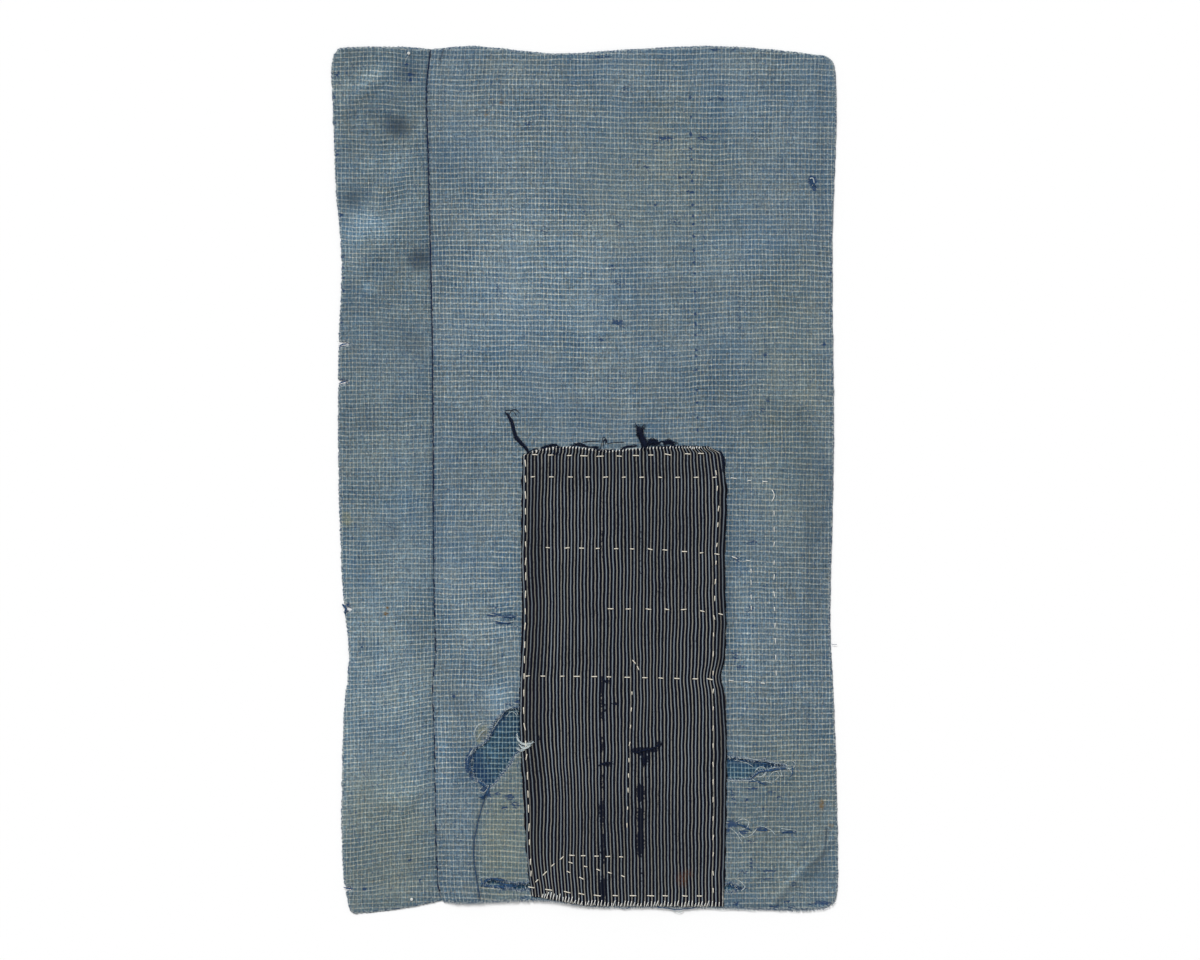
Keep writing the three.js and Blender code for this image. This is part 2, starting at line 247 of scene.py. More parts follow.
def cloth_piece(name, loops, step, under, face, threads, marks, finish, lines=(), detail=()):
    """A thin closed sheet inside the first loop and round the others.

    under and face give its two heights, threads where its warp and weft run, marks
    the fields that its finish reads, lines where thin creases need finer mesh, and
    detail more points, where small spots need it."""
    tree = kdtree.KDTree(sum(len(loop) for loop in loops))
    for n, point in enumerate(np.vstack(loops)):
        tree.insert((*point, 0), n)
    tree.balance()
    low, high = loops[0].min(axis=0), loops[0].max(axis=0)
    columns = np.arange(low[0] + step / 2, high[0], step)
    rows = np.arange(low[1] + step / 2, high[1], step)
    grid = np.array(np.meshgrid(columns, rows)).reshape(2, -1).T
    grid = grid[inside(grid, loops)]
    grid = grid[[tree.find((*point, 0))[2] > 0.6 * step for point in grid]]
    ring = [loop - RIM_INSET * outward(loop) for loop in loops]
    for points, width, _ in lines:
        path = along_path(points, LINE_STEP)
        side = np.gradient(path, axis=0)[:, ::-1] * (1, -1)
        side *= width / np.hypot(*side.T)[:, None]
        ring += [path, path + side, path - side]
    ring = np.vstack([*ring, *detail])
    ring = ring[inside(ring, loops)]
    ring = ring[[tree.find((*point, 0))[2] > 0.7 * RIM_INSET for point in ring]]
    edges = []
    count = 0
    for loop in loops:
        edges += [(count + n, count + (n + 1) % len(loop)) for n in range(len(loop))]
        count += len(loop)
    given = np.vstack([*loops, ring, grid])
    flat, _, triangles, *_ = delaunay_2d_cdt([Vector(point) for point in given], edges, [], 0, 1e-5, False)
    flat = np.array([tuple(point) for point in flat])
    triangles = np.array(triangles)
    middles = flat[triangles].mean(axis=1)
    triangles = triangles[inside(middles, loops)]
    rim = np.array([tree.find((*point, 0))[2] for point in flat])
    x, y = flat.T
    top, bottom = face(x, y), under(x, y)
    rounded = np.clip(1 - rim / RIM_INSET, 0, 1) * (top - bottom)
    size = len(flat)
    corners = np.concatenate([triangles[:, [0, 1]], triangles[:, [1, 2]], triangles[:, [2, 0]]])
    ways = {tuple(way) for way in corners.tolist()}
    open_ways = [way for way in ways if way[::-1] not in ways]
    faces = triangles.tolist() + (triangles[:, ::-1] + size).tolist()
    faces += [(b, a, a + size, b + size) for a, b in open_ways]
    mesh = bpy.data.meshes.new(name)
    heights = np.concatenate([top - EDGE_DROP * rounded, bottom + EDGE_LIFT * rounded])
    places = np.column_stack([np.tile(x, 2), np.tile(y, 2), heights]) * MM
    mesh.from_pydata(places.tolist(), [], faces)
    run = mesh.attributes.new("thread", "FLOAT_VECTOR", "POINT")
    across, along = threads(x, y)
    run.data.foreach_set("vector", np.tile(np.column_stack([across, along, 0 * x]), (2, 1)).ravel())
    for mark, field in {"rim": lambda x, y: np.minimum(rim, RIM_MARK), **marks}.items():
        layer = mesh.attributes.new(mark, "FLOAT", "POINT")
        layer.data.foreach_set("value", np.tile(field(x, y), 2))
    mesh.update()
    return add_object(name, mesh, finish)


class Value:
    """A number, colour or vector on its way through a finish. Sums on it add Math nodes."""

    def __init__(self, finish, socket):
        self.finish = finish
        self.socket = socket

    def sum(self, operation, first, second=0.0):
        return self.finish.node("ShaderNodeMath", {"operation": operation}, {0: first, 1: second})

    def __add__(self, other):
        return self.sum("ADD", self, other)

    def __sub__(self, other):
        return self.sum("SUBTRACT", self, other)

    def __rsub__(self, other):
        return self.sum("SUBTRACT", other, self)

    def __mul__(self, other):
        return self.sum("MULTIPLY", self, other)

    def __truediv__(self, other):
        return self.sum("DIVIDE", self, other)

    def __mod__(self, other):
        return self.sum("FLOORED_MODULO", self, other)

    def __lt__(self, other):
        return self.sum("LESS_THAN", self, other)

    def __gt__(self, other):
        return self.sum("GREATER_THAN", self, other)

    __radd__ = __add__
    __rmul__ = __mul__

    def floor(self):
        return self.sum("FLOOR", self)

    def size(self):
        return self.sum("ABSOLUTE", self)

    def hump(self):
        """0 at each whole number and 1 half way between."""
        return self.sum("ABSOLUTE", self.sum("SINE", self * pi))


class Finish:
    """A cloth's or a thread's material while its nodes are put together."""

    def __init__(self, name):
        self.material = bpy.data.materials.new(name)
        self.material.use_nodes = True
        self.tree = self.material.node_tree
        self.tree.nodes.clear()

    def node(self, kind, settings, sockets, output=0):
        made = self.tree.nodes.new(kind)
        for setting, value in settings.items():
            setattr(made, setting, value)
        for place, value in sockets.items():
            if isinstance(value, Value):
                self.tree.links.new(value.socket, made.inputs[place])
            else:
                made.inputs[place].default_value = value
        if len(made.outputs):
            return Value(self, made.outputs[output])

    def mark(self, name, output="Fac"):
        return self.node("ShaderNodeAttribute", {"attribute_name": name}, {}, output)

    def parts(self, vector):
        return [self.node("ShaderNodeSeparateXYZ", {}, {0: vector}, axis) for axis in (0, 1)]

    def join(self, x, y, z=0.0):
        return self.node("ShaderNodeCombineXYZ", {}, {0: x, 1: y, 2: z})

    def noise(self, place, rate, seed, detail=2.0):
        sockets = {"Vector": place, "W": seed, "Scale": rate, "Detail": detail}
        return self.node("ShaderNodeTexNoise", {"noise_dimensions": "4D"}, sockets)

    def step(self, value, low, high):
        """0 up to low and 1 from high, eased between."""
        sockets = {"Value": value, "From Min": low, "From Max": high}
        return self.node("ShaderNodeMapRange", {"interpolation_type": "SMOOTHSTEP"}, sockets)

    def mix(self, share, first, second, blend="MIX"):
        settings = {"data_type": "RGBA", "blend_type": blend}
        return self.node("ShaderNodeMix", settings, {0: share, 6: first, 7: second}, 2)

    def made(self, colour, roughness, height, depth, sheen):
        """Ends the finish with its colour, roughness, relief of depth mm and sheen."""
        relief = {"Strength": 1.0, "Distance": depth * MM, "Height": height}
        normal = self.node("ShaderNodeBump", {}, relief)
        sockets = {
            "Base Color": colour,
            "Roughness": roughness,
            "Normal": normal,
            "Sheen Weight": sheen,
            "Sheen Roughness": 0.6,
            "Specular IOR Level": 0.03,
        }
        cloth = self.node("ShaderNodeBsdfPrincipled", {}, sockets)
        self.node("ShaderNodeOutputMaterial", {}, {"Surface": cloth})
        return self.material


def check_weave(name, blue, faded, cream, warp_repeat, weft_repeat, pale_share):
    """A plain-weave check: one pale end in five and two pale picks in seven."""
    finish = Finish(name)
    place = finish.mark("thread", "Vector")
    across, along = finish.parts(place)
    # Threads wander, together and each stripe alone
    across = across + (finish.noise(place, 0.06, 1) - 0.5) * 1.2
    across = across + (finish.noise(finish.join(across * 0.17, 0.0), 1.0, 6) - 0.5) * 1.1
    along = along + (finish.noise(place, 0.05, 2) - 0.5) * 1.8
    along = along + (finish.noise(finish.join(0.0, along * 0.12), 1.0, 7) - 0.5) * 1.6
    end = across / (warp_repeat / ENDS)
    pick = along / (weft_repeat / PICKS)
    end_no, pick_no = end.floor(), pick.floor()
    # Each thread took and kept its dye in its own way
    end_tone = finish.noise(finish.join(end_no * 3.7, along * 0.05), 1.0, 3, 5.0)
    pick_tone = finish.noise(finish.join(pick_no * 3.7, across * 0.05), 1.0, 4, 5.0)
    pale_end = ((end_no % ENDS) < 0.5) * (finish.step(end_tone, 0.26, 0.58) * 0.8 + 0.2) * pale_share[0]
    pale_pick = ((pick_no % PICKS) < 0.5) * 0.65 + ((pick_no % PICKS) < 1.5) * 0.35
    pale_pick = pale_pick * (finish.step(pick_tone, 0.28, 0.55) * 0.55 + 0.45) * pale_share[1]
    broad = finish.noise(place, 0.022, 5, 3.0)
    warp = finish.mix(finish.step(end_tone * 0.65 + broad * 0.35, 0.36, 0.62), blue, faded)
    weft = finish.mix(finish.step(pick_tone * 0.65 + broad * 0.35, 0.36, 0.62), blue, faded)
    warp = finish.mix(pale_end, warp, cream)
    weft = finish.mix(pale_pick, weft, cream)
    over = ((end_no + pick_no) % 2) * 0.5 + 0.25
    colour = finish.mix(over, weft, warp)
    # Slubs and stray fibres, cool and warm, along both ways of the thread
    tint = finish.step(finish.noise(place, 0.8, 22, 2.0), 0.35, 0.65)
    tint = finish.mix(tint, (0.93, 1.0, 1.08, 1), (1.09, 1.0, 0.92, 1))
    colour = finish.mix(1.0, colour, tint, "MULTIPLY")
    upright = finish.noise(finish.join(across * 0.9, along * 0.12), 1.0, 20, 2.0)
    level = finish.noise(finish.join(across * 0.12, along * 0.9), 1.0, 21, 2.0)
    grain = finish.noise(place, 0.62, 8, 3.0) * 2.2 + finish.noise(place, 0.16, 9, 2.0) * 0.4
    grain = grain + upright * 1.1 + level * 0.7 - 1.18
    colour = finish.mix(1.0, colour, finish.join(grain, grain, grain), "MULTIPLY")
    return finish, place, colour, finish.mix(over, pick.hump(), end.hump())


def dark_check():
    finish, place, colour, rounding = check_weave(
        "unfaded_check", srgb(16, 42, 66), srgb(52, 86, 108), srgb(160, 182, 184), 3.1, 4.2, (0.85, 0.95)
    )
    # deep: painted shadow, a deeper blue under the edges of the holes and the slit
    colour = finish.mix(finish.mark("deep") * 0.6, colour, srgb(20, 50, 92))
    fuzz = finish.noise(place, 2.4, 10, 2.0)
    return finish.made(colour, DARK_ROUGHNESS, rounding + fuzz * 0.6, 0.12, 0.05)


def straight_threads(x, y):
    return x + 0.4 * drift(x, y, 60, 11), y + 0.6 * drift(x, y, 70, 12)


mending_finish = dark_check()
# Painted shadow, where the worn edges of the check shade this piece in the hole and the slit: the points of
# each stretch, its half width and strength
HOLE_SHADOWS = [
    ([(-92, -226), (-90, -238), (-82, -250)], 7, 0.8),
    ([(-74, -206), (-66, -194)], 3, 0.6),
    ([(118, -233), (140, -234), (172, -238)], 3, 0.8),
]


def mending_piece(node):
    """A piece sewn flat to the reverse, lying on the surface under the check."""
    loops = [worn_edge(solid_outlines(node)[0], 1.5, 0.3, 0.15, 21)]
    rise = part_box(node)[1][2] / MM
    piece = cloth_piece(
        node + "_cloth",
        loops,
        GRID_STEP,
        lambda x, y: 0 * x + REST_GAP,
        lambda x, y: rise - 0.1 + 0.08 * drift(x, y, 20, 22),
        straight_threads,
        {"deep": near_lines(HOLE_SHADOWS)},
        mending_finish,
    )
    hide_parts(node)
    return piece


lower_mending = mending_piece("backing_lower")


# The upper mending piece is a second offcut on the reverse. It doesn't show on the
# face, but the rows of stitches that outline it do.
upper_mending = mending_piece("backing_upper")


# The main panel is one loom width of small check, faded to grey blue, with a turned
# hem on its top and right edges and a raw bottom. It is worn through beside the patch.
LAYER_GAP = 0.3
EDGE_CLEARANCE = 2
SLOPE_WIDTH = 12
HEM_WIDTH = 8
HEM_EXTRA = 0.45
SEAM_SINK = 0.55
SEAM_SIDE = -117.5
TOP_HEM_FROM = 345
RIGHT_HEM_FROM = 195
SPOT_STEP = 0.8
CLOTH_ROUGHNESS = 0.93
PALE_SHARE = (0.54, 0.76)
CREAM_LINES = srgb(216, 216, 202)
KHAKI = srgb(122, 128, 114)
# Each crease: its middle, the way it runs from +X, its length, full width and height
MAIN_CREASES = [
    (197, -20, 90, 230, 22, 1.4), (183, -326, 45, 76, 18, 1.9), (-84, -150, 78, 90, 26, 1.6),
    (60, 215, 8, 150, 40, 0.5), (-20, 120, 95, 170, 36, 0.5), (93, 180, 90, 320, 7, 0.5),
]


def lifted(x, y):
    share = 0 * x
    for node in ("backing_upper", "backing_lower"):
        (left, bottom, _), (right, top, rise) = [np.array(corner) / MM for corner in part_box(node)]
        out_x = np.maximum(left - x, x - right) - EDGE_CLEARANCE
        out_y = np.maximum(bottom - y, y - top) - EDGE_CLEARANCE
        share = np.maximum(share, ease(1 - out_x / SLOPE_WIDTH) * ease(1 - out_y / SLOPE_WIDTH))
    return (rise + LAYER_GAP) * share


def creased(creases, x, y):
    """How far the cloth stands off the surface in its creases."""
    total = 0 * x
    for middle_x, middle_y, angle, length, width, height in creases:
        dx, dy = x - middle_x, y - middle_y
        turn = radians(angle)
        along = np.abs(dx * cos(turn) + dy * sin(turn)) / (length / 2)
        across = np.abs(dy * cos(turn) - dx * sin(turn)) / (width / 2)
        total = total + height * ease(1 - along) * ease(1 - across)
    return total


def spots(rows):
    """A field of 0 to 1 from rows of middle, half width, half height and strength."""
    def field(x, y):
        total = 0 * x
        for middle_x, middle_y, wide, tall, strength in rows:
            reach = np.hypot((x - middle_x) / wide, (y - middle_y) / tall)
            total = np.maximum(total, strength * ease(1.5 - reach))
        return total
    return field


def small_spots(rows):
    """Points close together on the small spots among the rows."""
    placed = []
    for middle_x, middle_y, wide, tall, _ in rows:
        if min(wide, tall) < GRID_STEP:
            x = np.arange(middle_x - 1.4 * wide, middle_x + 1.4 * wide, SPOT_STEP)
            y = np.arange(middle_y - 1.4 * tall, middle_y + 1.4 * tall, SPOT_STEP)
            placed += [(a, b) for a in np.round(x / SPOT_STEP) for b in np.round(y / SPOT_STEP)]
    return np.unique(placed, axis=0) * SPOT_STEP + 0.1


def toned(rows):
    """As spots, but adding up, with soft edges and strengths of either sign."""
    def field(x, y):
        total = 0 * x
        for middle_x, middle_y, wide, tall, strength in rows:
            reach = ((x - middle_x) / wide) ** 2 + ((y - middle_y) / tall) ** 2
            total = total + strength * np.exp(-reach)
        return total
    return field


main_loops = solid_outlines("main_panel")
main_edge = main_loops[0]
seam_ends = edge_part(main_edge, main_edge[:, 0] < SEAM_SIDE, 1)
top_ends = edge_part(main_edge, main_edge[:, 1] > TOP_HEM_FROM, 0)
right_ends = edge_part(main_edge, main_edge[:, 0] > RIGHT_HEM_FROM, 1)


def seam_x(y):
    """Where the seam crosses a height of the cloth."""
    return np.interp(y, seam_ends[:, 1], seam_ends[:, 0])


def seam_groove_shade(x, y):
    """Painted shade of the seam's groove: strongest on the seam and gone 3 mm to each side. It is darkest
    above the middle.
    """
    return np.exp(-(((x - seam_x(y)) / 1.1) ** 2)) * (0.45 + 0.55 * ease((y + 140) / 160))


def closed_seam(loop):
    """Draws the points of a loop that lie along the seam onto it, so that no gap is left."""
    x, y = loop.T
    meets = (np.abs(x - seam_x(y)) < 2) & (y > seam_ends[0, 1]) & (y < seam_ends[-1, 1])
    return np.column_stack([np.where(meets, seam_x(y), x), y])


def hem_rise(x, y):
    """The step of the turned hem along the top and right edges of the main panel."""
    top_edge = np.interp(x, top_ends[:, 0], top_ends[:, 1])
    right_edge = np.interp(y, right_ends[:, 1], right_ends[:, 0])
    depth = np.minimum(top_edge - y, right_edge - x)
    return HEM_EXTRA * ease((HEM_WIDTH + 1 - depth) / 2)


def settled(x, y):
    """How far the cloth stands off the surface even where it lies flat."""
    return np.maximum(0.25 + 0.22 * drift(x, y, 45, 31), 0.05)


def main_under(x, y):
    return lifted(x, y) + creased(MAIN_CREASES, x, y) + settled(x, y)


# Thin creases and a tear, sunk in the face and painted darker along them as shade: the points of each, its
# half width and how deep it is
MAIN_LINES = [
    ([(160, -352), (172, -338), (183, -326), (195, -314), (207, -301)], 2.4, 0.4),
    ([(201, -290), (200.4, -300), (198.2, -312)], 0.9, 0.9),
    ([(-116.4, 358), (-118, 354), (-119.8, 349)], 0.9, 1.0),
    (
        [
            *((-79.5, -254), (-81.5, -261), (-86.5, -276), (-91.7, -299), (-92, -312)),
            *((-90.5, -324), (-86.7, -347)),
        ],
        0.9,
        1.25,
    ),
    ([(-68.5, 337), (-69.5, 324), (-67.5, 312)], 1.1, 0.5),
    ([(-101, -150), (-96, -190), (-99, -225)], 1.4, 0.25),
]
# Thin ridges, raised in the face and also painted lighter as a highlight through the tone mark: the points
# of each, its half width and strength
MAIN_RIDGES = [
    ([(154, -351), (165, -337), (175, -327), (187, -316), (198, -306), (206, -296)], 1.4, 0.9),
    ([(87.6, 324), (90.5, 240), (92, 150), (93.4, 33)], 1.2, 0.15),
    ([(-93, -222), (-96, -232), (-95, -243)], 1.2, 0.5),
    ([(-76, -199), (-70, -192), (-62, -187)], 1.2, 0.5),
]
main_creases, main_ridges = near_lines(MAIN_LINES), near_lines(MAIN_RIDGES)


def main_face(x, y):
    seam = SEAM_SINK * ease(1 - (x - seam_x(y)) / 2.5)
    nap = 0.1 * drift(x, y, 12, 32) - 0.45 * main_creases(x, y) + 0.4 * main_ridges(x, y)
    return main_under(x, y) + CLOTH + hem_rise(x, y) - seam + nap


def main_threads(x, y):
    pull = 3.2 * np.exp(-(((x + 58) / 16) ** 2)) * ease((y + 210) / 40) * ease((-60 - y) / 50)
    across = x - 0.6 * (seam_x(y) + 125) * np.exp(-(((x + 125) / 60) ** 2)) + 1.1 * drift(x, y, 130, 33)
    along = y - pull + 1.6 * drift(x, y, 110, 34) + 0.35 * drift(x, y, 30, 35)
    return across + 0.25 * drift(x, y, 28, 36), along


# Where the blue of the inside shows through the worn face: the middle of each spot, its
# half width, half height and strength
MAIN_WEAR = [
    (-74, -112, 7, 1.6, 1.0), (-62, -113.5, 7, 1.6, 1.1), (-66, -118.5, 9, 1.4, 1.0),
    (-58, -122, 4, 1.2, 0.7), (-76, -106, 5, 1.2, 0.6), (122.5, -285.5, 5.5, 3.2, 1.1),
    (119, -290, 2, 3, 1.0), (131, -292, 4.5, 2.2, 1.0), (147, -289.5, 6, 2.2, 0.85),
    (169, -292, 7, 2.0, 0.75), (137, -300, 4, 1.2, 0.8), (138.4, -318, 1.4, 6, 0.7),
    (153, -324.5, 9, 1.3, 0.8), (132, -325, 3.4, 2, 0.8), (150, -331, 8, 1.2, 0.6),
    (173.4, -334.7, 2, 2.4, 0.9), (167.8, -350, 3.4, 1.6, 0.8), (124, -338.7, 5, 3, 1.1),
    (131, -338, 4, 2, 0.8), (139, -256, 5, 1.3, 0.9), (155.5, -259, 5, 1.1, 0.8),
    (160.8, -263, 1.6, 1.3, 0.9), (134.6, -265.6, 2, 2, 0.8), (148.4, -272.6, 1.2, 2.4, 0.7),
    (-108.3, -179.3, 1.8, 1.6, 1.0), (-79.5, -260, 3, 4, 1.1), (-83.5, -257, 3, 3.4, 1.1),
    (124, -262, 3, 8, 0.5), (67, 283.6, 8, 1.9, 0.75), (98, 283.6, 5, 1.9, 0.8),
    (88.7, 287.5, 1.3, 1.5, 1.0), (58.5, 278.6, 2, 3, 0.7), (88, 274.5, 2.2, 1.3, 0.7),
    (50.8, 259.7, 2.4, 1.6, 0.7), (86.9, 238.7, 3, 2.4, 0.7), (198.8, 112.2, 2.2, 1.0, 1.4),
    (204.6, 172, 1, 1, 1.2), (189.2, 248.5, 3.6, 4.2, 1.5), (190.6, 242.5, 2.2, 3, 1.1),
    (113.7, 316.2, 2.6, 1.6, 0.9), (104.6, 315, 2, 1.6, 0.8), (23.2, 176.4, 3, 3, 0.8),
    (13.7, 116.2, 2.2, 1.6, 0.9), (12, 111.2, 1.6, 1.4, 0.8), (149.8, 103.8, 2, 2.4, 0.8),
    (152, 66.4, 1.6, 2.6, 0.8), (148, 58, 2.2, 2, 0.7), (79.3, 251, 1.6, 1.6, 0.9),
    (58.5, 228, 2, 1.2, 0.8), (15, 351, 7, 1.4, 0.9), (-47, 295, 3, 5, 0.6), (-33, 302, 4, 3, 0.5),
    (35, 322, 4, 5, 0.5), (27, 131, 6, 2.2, 1.0), (31, 128, 3, 4, 0.6), (29, 163, 5, 4, 0.5),
    (29, 212, 4, 5, 0.5), (75, 213, 5, 5, 0.5), (-33, 207, 5, 5, 0.5), (-72, 160, 1.6, 16, 0.5),
    (-60, 215, 1.6, 20, 0.5), (128, 140, 1.6, 30, 0.4), (-62, -263, 4, 2.4, 1.0), (-72, -260, 3, 2, 0.8),
    (-58, -269, 4, 3, 0.9), (-66, -272, 3, 2, 0.7), (-93.5, -226, 2.2, 5, 1.0), (-97, -235, 2.2, 8, 1.1),
    (-93, -246, 3, 3, 0.9), (-52, -184, 6, 2.4, 0.9), (-62, -186, 4, 1.6, 0.7), (125, -146, 3, 6, 0.7),
    (129, -155, 5, 3, 0.7), (139, -52, 5, 2.4, 0.7), (126, -66, 3, 5, 0.6), (137, -108, 4, 5, 0.6),
    (150, -88, 2, 5, 0.5), (17, 357, 4, 1.6, 0.9), (109, 357, 5, 1.6, 0.9), (125, 357, 3, 1.4, 0.7),
    (198, -351, 7, 1.8, 1.1), (190, -352, 4, 1.4, 0.9), (158, -354, 5, 1.4, 0.9),
    (172, -354, 4, 1.4, 0.8), (126, -352, 3, 2.4, 0.8), (-50, -346, 3, 2, 0.5),
]
# The heights of a column of old needle holes
OLD_HOLES = [
    *(317.5, 301, 286.4, 265.6, 255.2, 248.2, 238.6, 228.3, 219, 212, 202, 191, 180.5, 171, 156),
    *(137.8, 129.5, 120.4, 107.9, 102.9, 91.3, 74.7, 64.3, 52, 41),
]
MAIN_WEAR += [(87.8 + (318 - y) / 44, y, 1.1, 1.6 - (y % 0.5), 1.1 + (y % 0.5)) for y in OLD_HOLES]
# Darker places: stains, a painted shadow beside the pucker left of the patch, and a painted shade band
# along the seam: the middle of each, its half width, half height and strength
MAIN_STAIN_AND_SHADE = [
    (-105, -183, 7, 9, 0.5), (-119, 60, 3, 260, 0.22), (40, 287, 6, 5, 0.35), (70, 160, 8, 6, 0.2),
]
MAIN_BROWN = [
    (196.8, -269.5, 2.2, 4.5, 0.8), (205, -286.5, 1.8, 1.3, 0.7), (-123, -222.7, 1.3, 1.1, 0.9),
    (-82, -211, 4, 6, 0.2), (-69, 313, 1.6, 1.6, 0.8), (-82, 303, 1.4, 1.4, 0.8),
]
# Where light and washing have left the face paler, and where it is darker: painted shade along the right
# hem, beside the patch's right edge and below the lower crease, and darker places elsewhere
MAIN_FADE_AND_SHADE = [
    (-70, 150, 42, 50, 0.26), (-60, 225, 46, 40, 0.14), (-20, 195, 40, 40, 0.1), (0, 140, 34, 48, 0.2),
    (130, 190, 32, 18, 0.16), (-68, -98, 14, 10, 0.2), (-74, -182, 12, 10, 0.25),
    (-118, -225, 9, 28, 0.4), (-70, -125, 16, 70, 0.12), (-72, -182, 10, 10, 0.12),
    (-70, -66, 10, 10, 0.12), (0, 346, 200, 12, 0.08), (-60, 120, 50, 60, 0.08),
    (-119, 60, 14, 110, 0.07), (-108, -60, 24, 60, 0.05), (-120, -240, 10, 30, 0.05),
    (-66, -180, 14, 30, 0.05), (-60, -60, 14, 24, 0.05), (150, -234, 34, 12, -0.04),
    (122, 190, 34, 20, 0.05), (20, 190, 60, 60, 0.035), (195, -30, 16, 60, -0.06),
    (204, -240, 7, 16, -0.08), (176, -322, 9, 9, 0.12), (190, 10, 20, 70, -0.08),
    (189.7, 222, 1.6, 14, 0.3), (54, 311, 34, 10, -0.08), (-70, -183, 8, 10, 0.14),
    (-57, -66, 12, 10, 0.1), (195, -10, 16, 60, -0.08), (129, -80, 8, 20, 0.1), (-62, -318, 20, 40, 0.08),
    (-122, 300, 8, 16, -0.08), (-116, -85, 10, 24, 0.14), (30, 300, 130, 40, 0.08),
    (134, -150, 8, 60, 0.12), (158, -112, 14, 16, 0.14), (-100, -125, 24, 56, 0.22),
    (133, -125, 12, 30, 0.16), (115, 66, 60, 18, -0.1), (160, 50, 30, 14, -0.12),
    (150, -285, 46, 44, -0.12), (-122, -300, 8, 30, -0.12), (125, 230, 9, 9, 0.2),
    (133, 309, 13, 11, 0.2), (40, 199, 130, 1.4, 0.14), (60, 174, 110, 1.4, 0.14),
    (20, 110, 130, 1.4, 0.12), (40, 72, 130, 1.4, 0.2), (-66, -125, 20, 3, 0.2), (37, 77, 3, 20, 0.25),
    (196, 270, 3, 70, -0.2), (186, -66, 4, 66, -0.22), (120, -100, 3, 120, -0.25),
    (191, -318, 8, 14, -0.2),
]
MAIN_KHAKI = [
    (-66, -300, 22, 52, 0.8), (-56, -246, 12, 26, 0.6), (-84.5, -208, 4.6, 3.2, 1.0),
    (-87.6, -214, 2.2, 6, 1.0), (165, -280, 46, 74, 0.35), (60, 250, 70, 60, 0.25),
    (170, 60, 30, 120, 0.3),
]


def faded_check(name, blue, faded, cream, *repeats):
    """The check after years of wash and light, worn to its blue inside in places, with the painted light
    and shade of its tone, crease and seam marks.
    """
    finish, place, colour, rounding = check_weave(name, blue, faded, cream, *repeats, PALE_SHARE)
    across, along = finish.parts(place)
    patches = finish.noise(place, 0.012, 13, 3.0)
    flecks = finish.noise(finish.join(across * 0.5, along * 1.3), 0.9, 14, 2.0)
    upright_flecks = finish.noise(finish.join(across * 1.4, along * 0.3), 0.9, 15, 2.0)
    fleck = finish.step(flecks, 0.6, 0.68) + finish.step(upright_flecks, 0.6, 0.68)
    broken = finish.noise(finish.join(across * 0.55, along * 1.25), 0.9, 16, 4.0)
    wear = finish.step(finish.mark("wear") + (broken - 0.5) * 3.2, 0.5, 0.85)
    hues = finish.noise(place, 0.06, 19, 4.0)
    colour = finish.mix(finish.step(patches, 0.4, 0.62) * 0.14, colour, srgb(84, 116, 146))
    colour = finish.mix(finish.step(hues, 0.5, 0.66) * 0.16, colour, srgb(116, 122, 116))
    colour = finish.mix(finish.step(hues, 0.46, 0.34) * 0.12, colour, srgb(78, 108, 136))
    colour = finish.mix(finish.mark("khaki") * 0.24, colour, KHAKI)
    colour = finish.mix(finish.mark("khaki") * 0.8, colour, (1.22, 1.1, 0.86, 1), "MULTIPLY")
    streaks = finish.noise(finish.join(across * 0.13, along * 0.008), 1.0, 24, 3.0)
    bars = finish.noise(finish.join(across * 0.01, along * 0.16), 1.0, 25, 3.0)
    # The tone mark brings faded places and painted light and shade; the streaks and bars are uneven dye
    shade = finish.mark("tone") + streaks * 0.3 + bars * 0.22 + 0.74
    colour = finish.mix(1.0, colour, finish.join(shade, shade, shade), "MULTIPLY")
    # stain: stains, with painted shade in places
    colour = finish.mix(finish.mark("stain") * 0.45, colour, srgb(54, 66, 78))
    colour = finish.mix(finish.mark("brown") * finish.step(broken, 0.3, 0.6), colour, srgb(110, 86, 44))
    colour = finish.mix(fleck * 0.6, colour, srgb(44, 72, 108))
    colour = finish.mix(wear * 0.85, colour, srgb(32, 60, 98))
    # The creases and the tear are painted darker, as shade in them
    colour = finish.mix(finish.mark("crease_shade") * 0.75, colour, srgb(36, 48, 64))
    # Painted shade in the groove of the seam
    colour = finish.mix(finish.mark("seam") * 0.5, colour, srgb(30, 46, 70))
    rim = (1 - finish.step(finish.mark("rim"), 0.5, 2.2)) * (finish.mark("seam") < 0.01)
    tick = finish.step(finish.noise(finish.join(across * 0.5, along * 0.8), 1.0, 23, 1.0), 0.46, 0.54)
    edge = finish.mix(tick, srgb(46, 70, 102), srgb(178, 187, 186))
    colour = finish.mix(rim * finish.step(broken, 0.34, 0.5) * 0.75, colour, edge)
    fuzz = finish.noise(place, 2.6, 18, 2.0)
    height = rounding + fuzz * 0.8 - wear * 1.5
    return finish.made(colour, CLOTH_ROUGHNESS, height, 0.16, 0.06)


check = faded_check("faded_check", srgb(56, 84, 104), srgb(98, 117, 127), CREAM_LINES, 3.07, 4.3)
hole_edges = [worn_edge(loop, 0.9, 0.9, 0.5, 41 + n) for n, loop in enumerate(main_loops[1:])]
main_panel = cloth_piece(
    "main_panel_cloth",
    [closed_seam(worn_edge(main_edge, 2.5, 0.18, 0.22, 40)), *hole_edges],
    GRID_STEP,
    main_under,
    main_face,
    main_threads,
    {
        "wear": spots(MAIN_WEAR),
        "stain": spots(MAIN_STAIN_AND_SHADE),
        # tone: faded places and painted shade, with a painted highlight along the ridges
        "tone": lambda x, y: toned(MAIN_FADE_AND_SHADE)(x, y) + 0.25 * main_ridges(x, y),
        "brown": spots(MAIN_BROWN),
        "khaki": spots(MAIN_KHAKI),
        "crease_shade": main_creases,
        "seam": seam_groove_shade,
    },
    check,
    MAIN_LINES + MAIN_RIDGES,
    [small_spots(MAIN_WEAR + MAIN_KHAKI + MAIN_BROWN)],
)
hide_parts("main_panel")


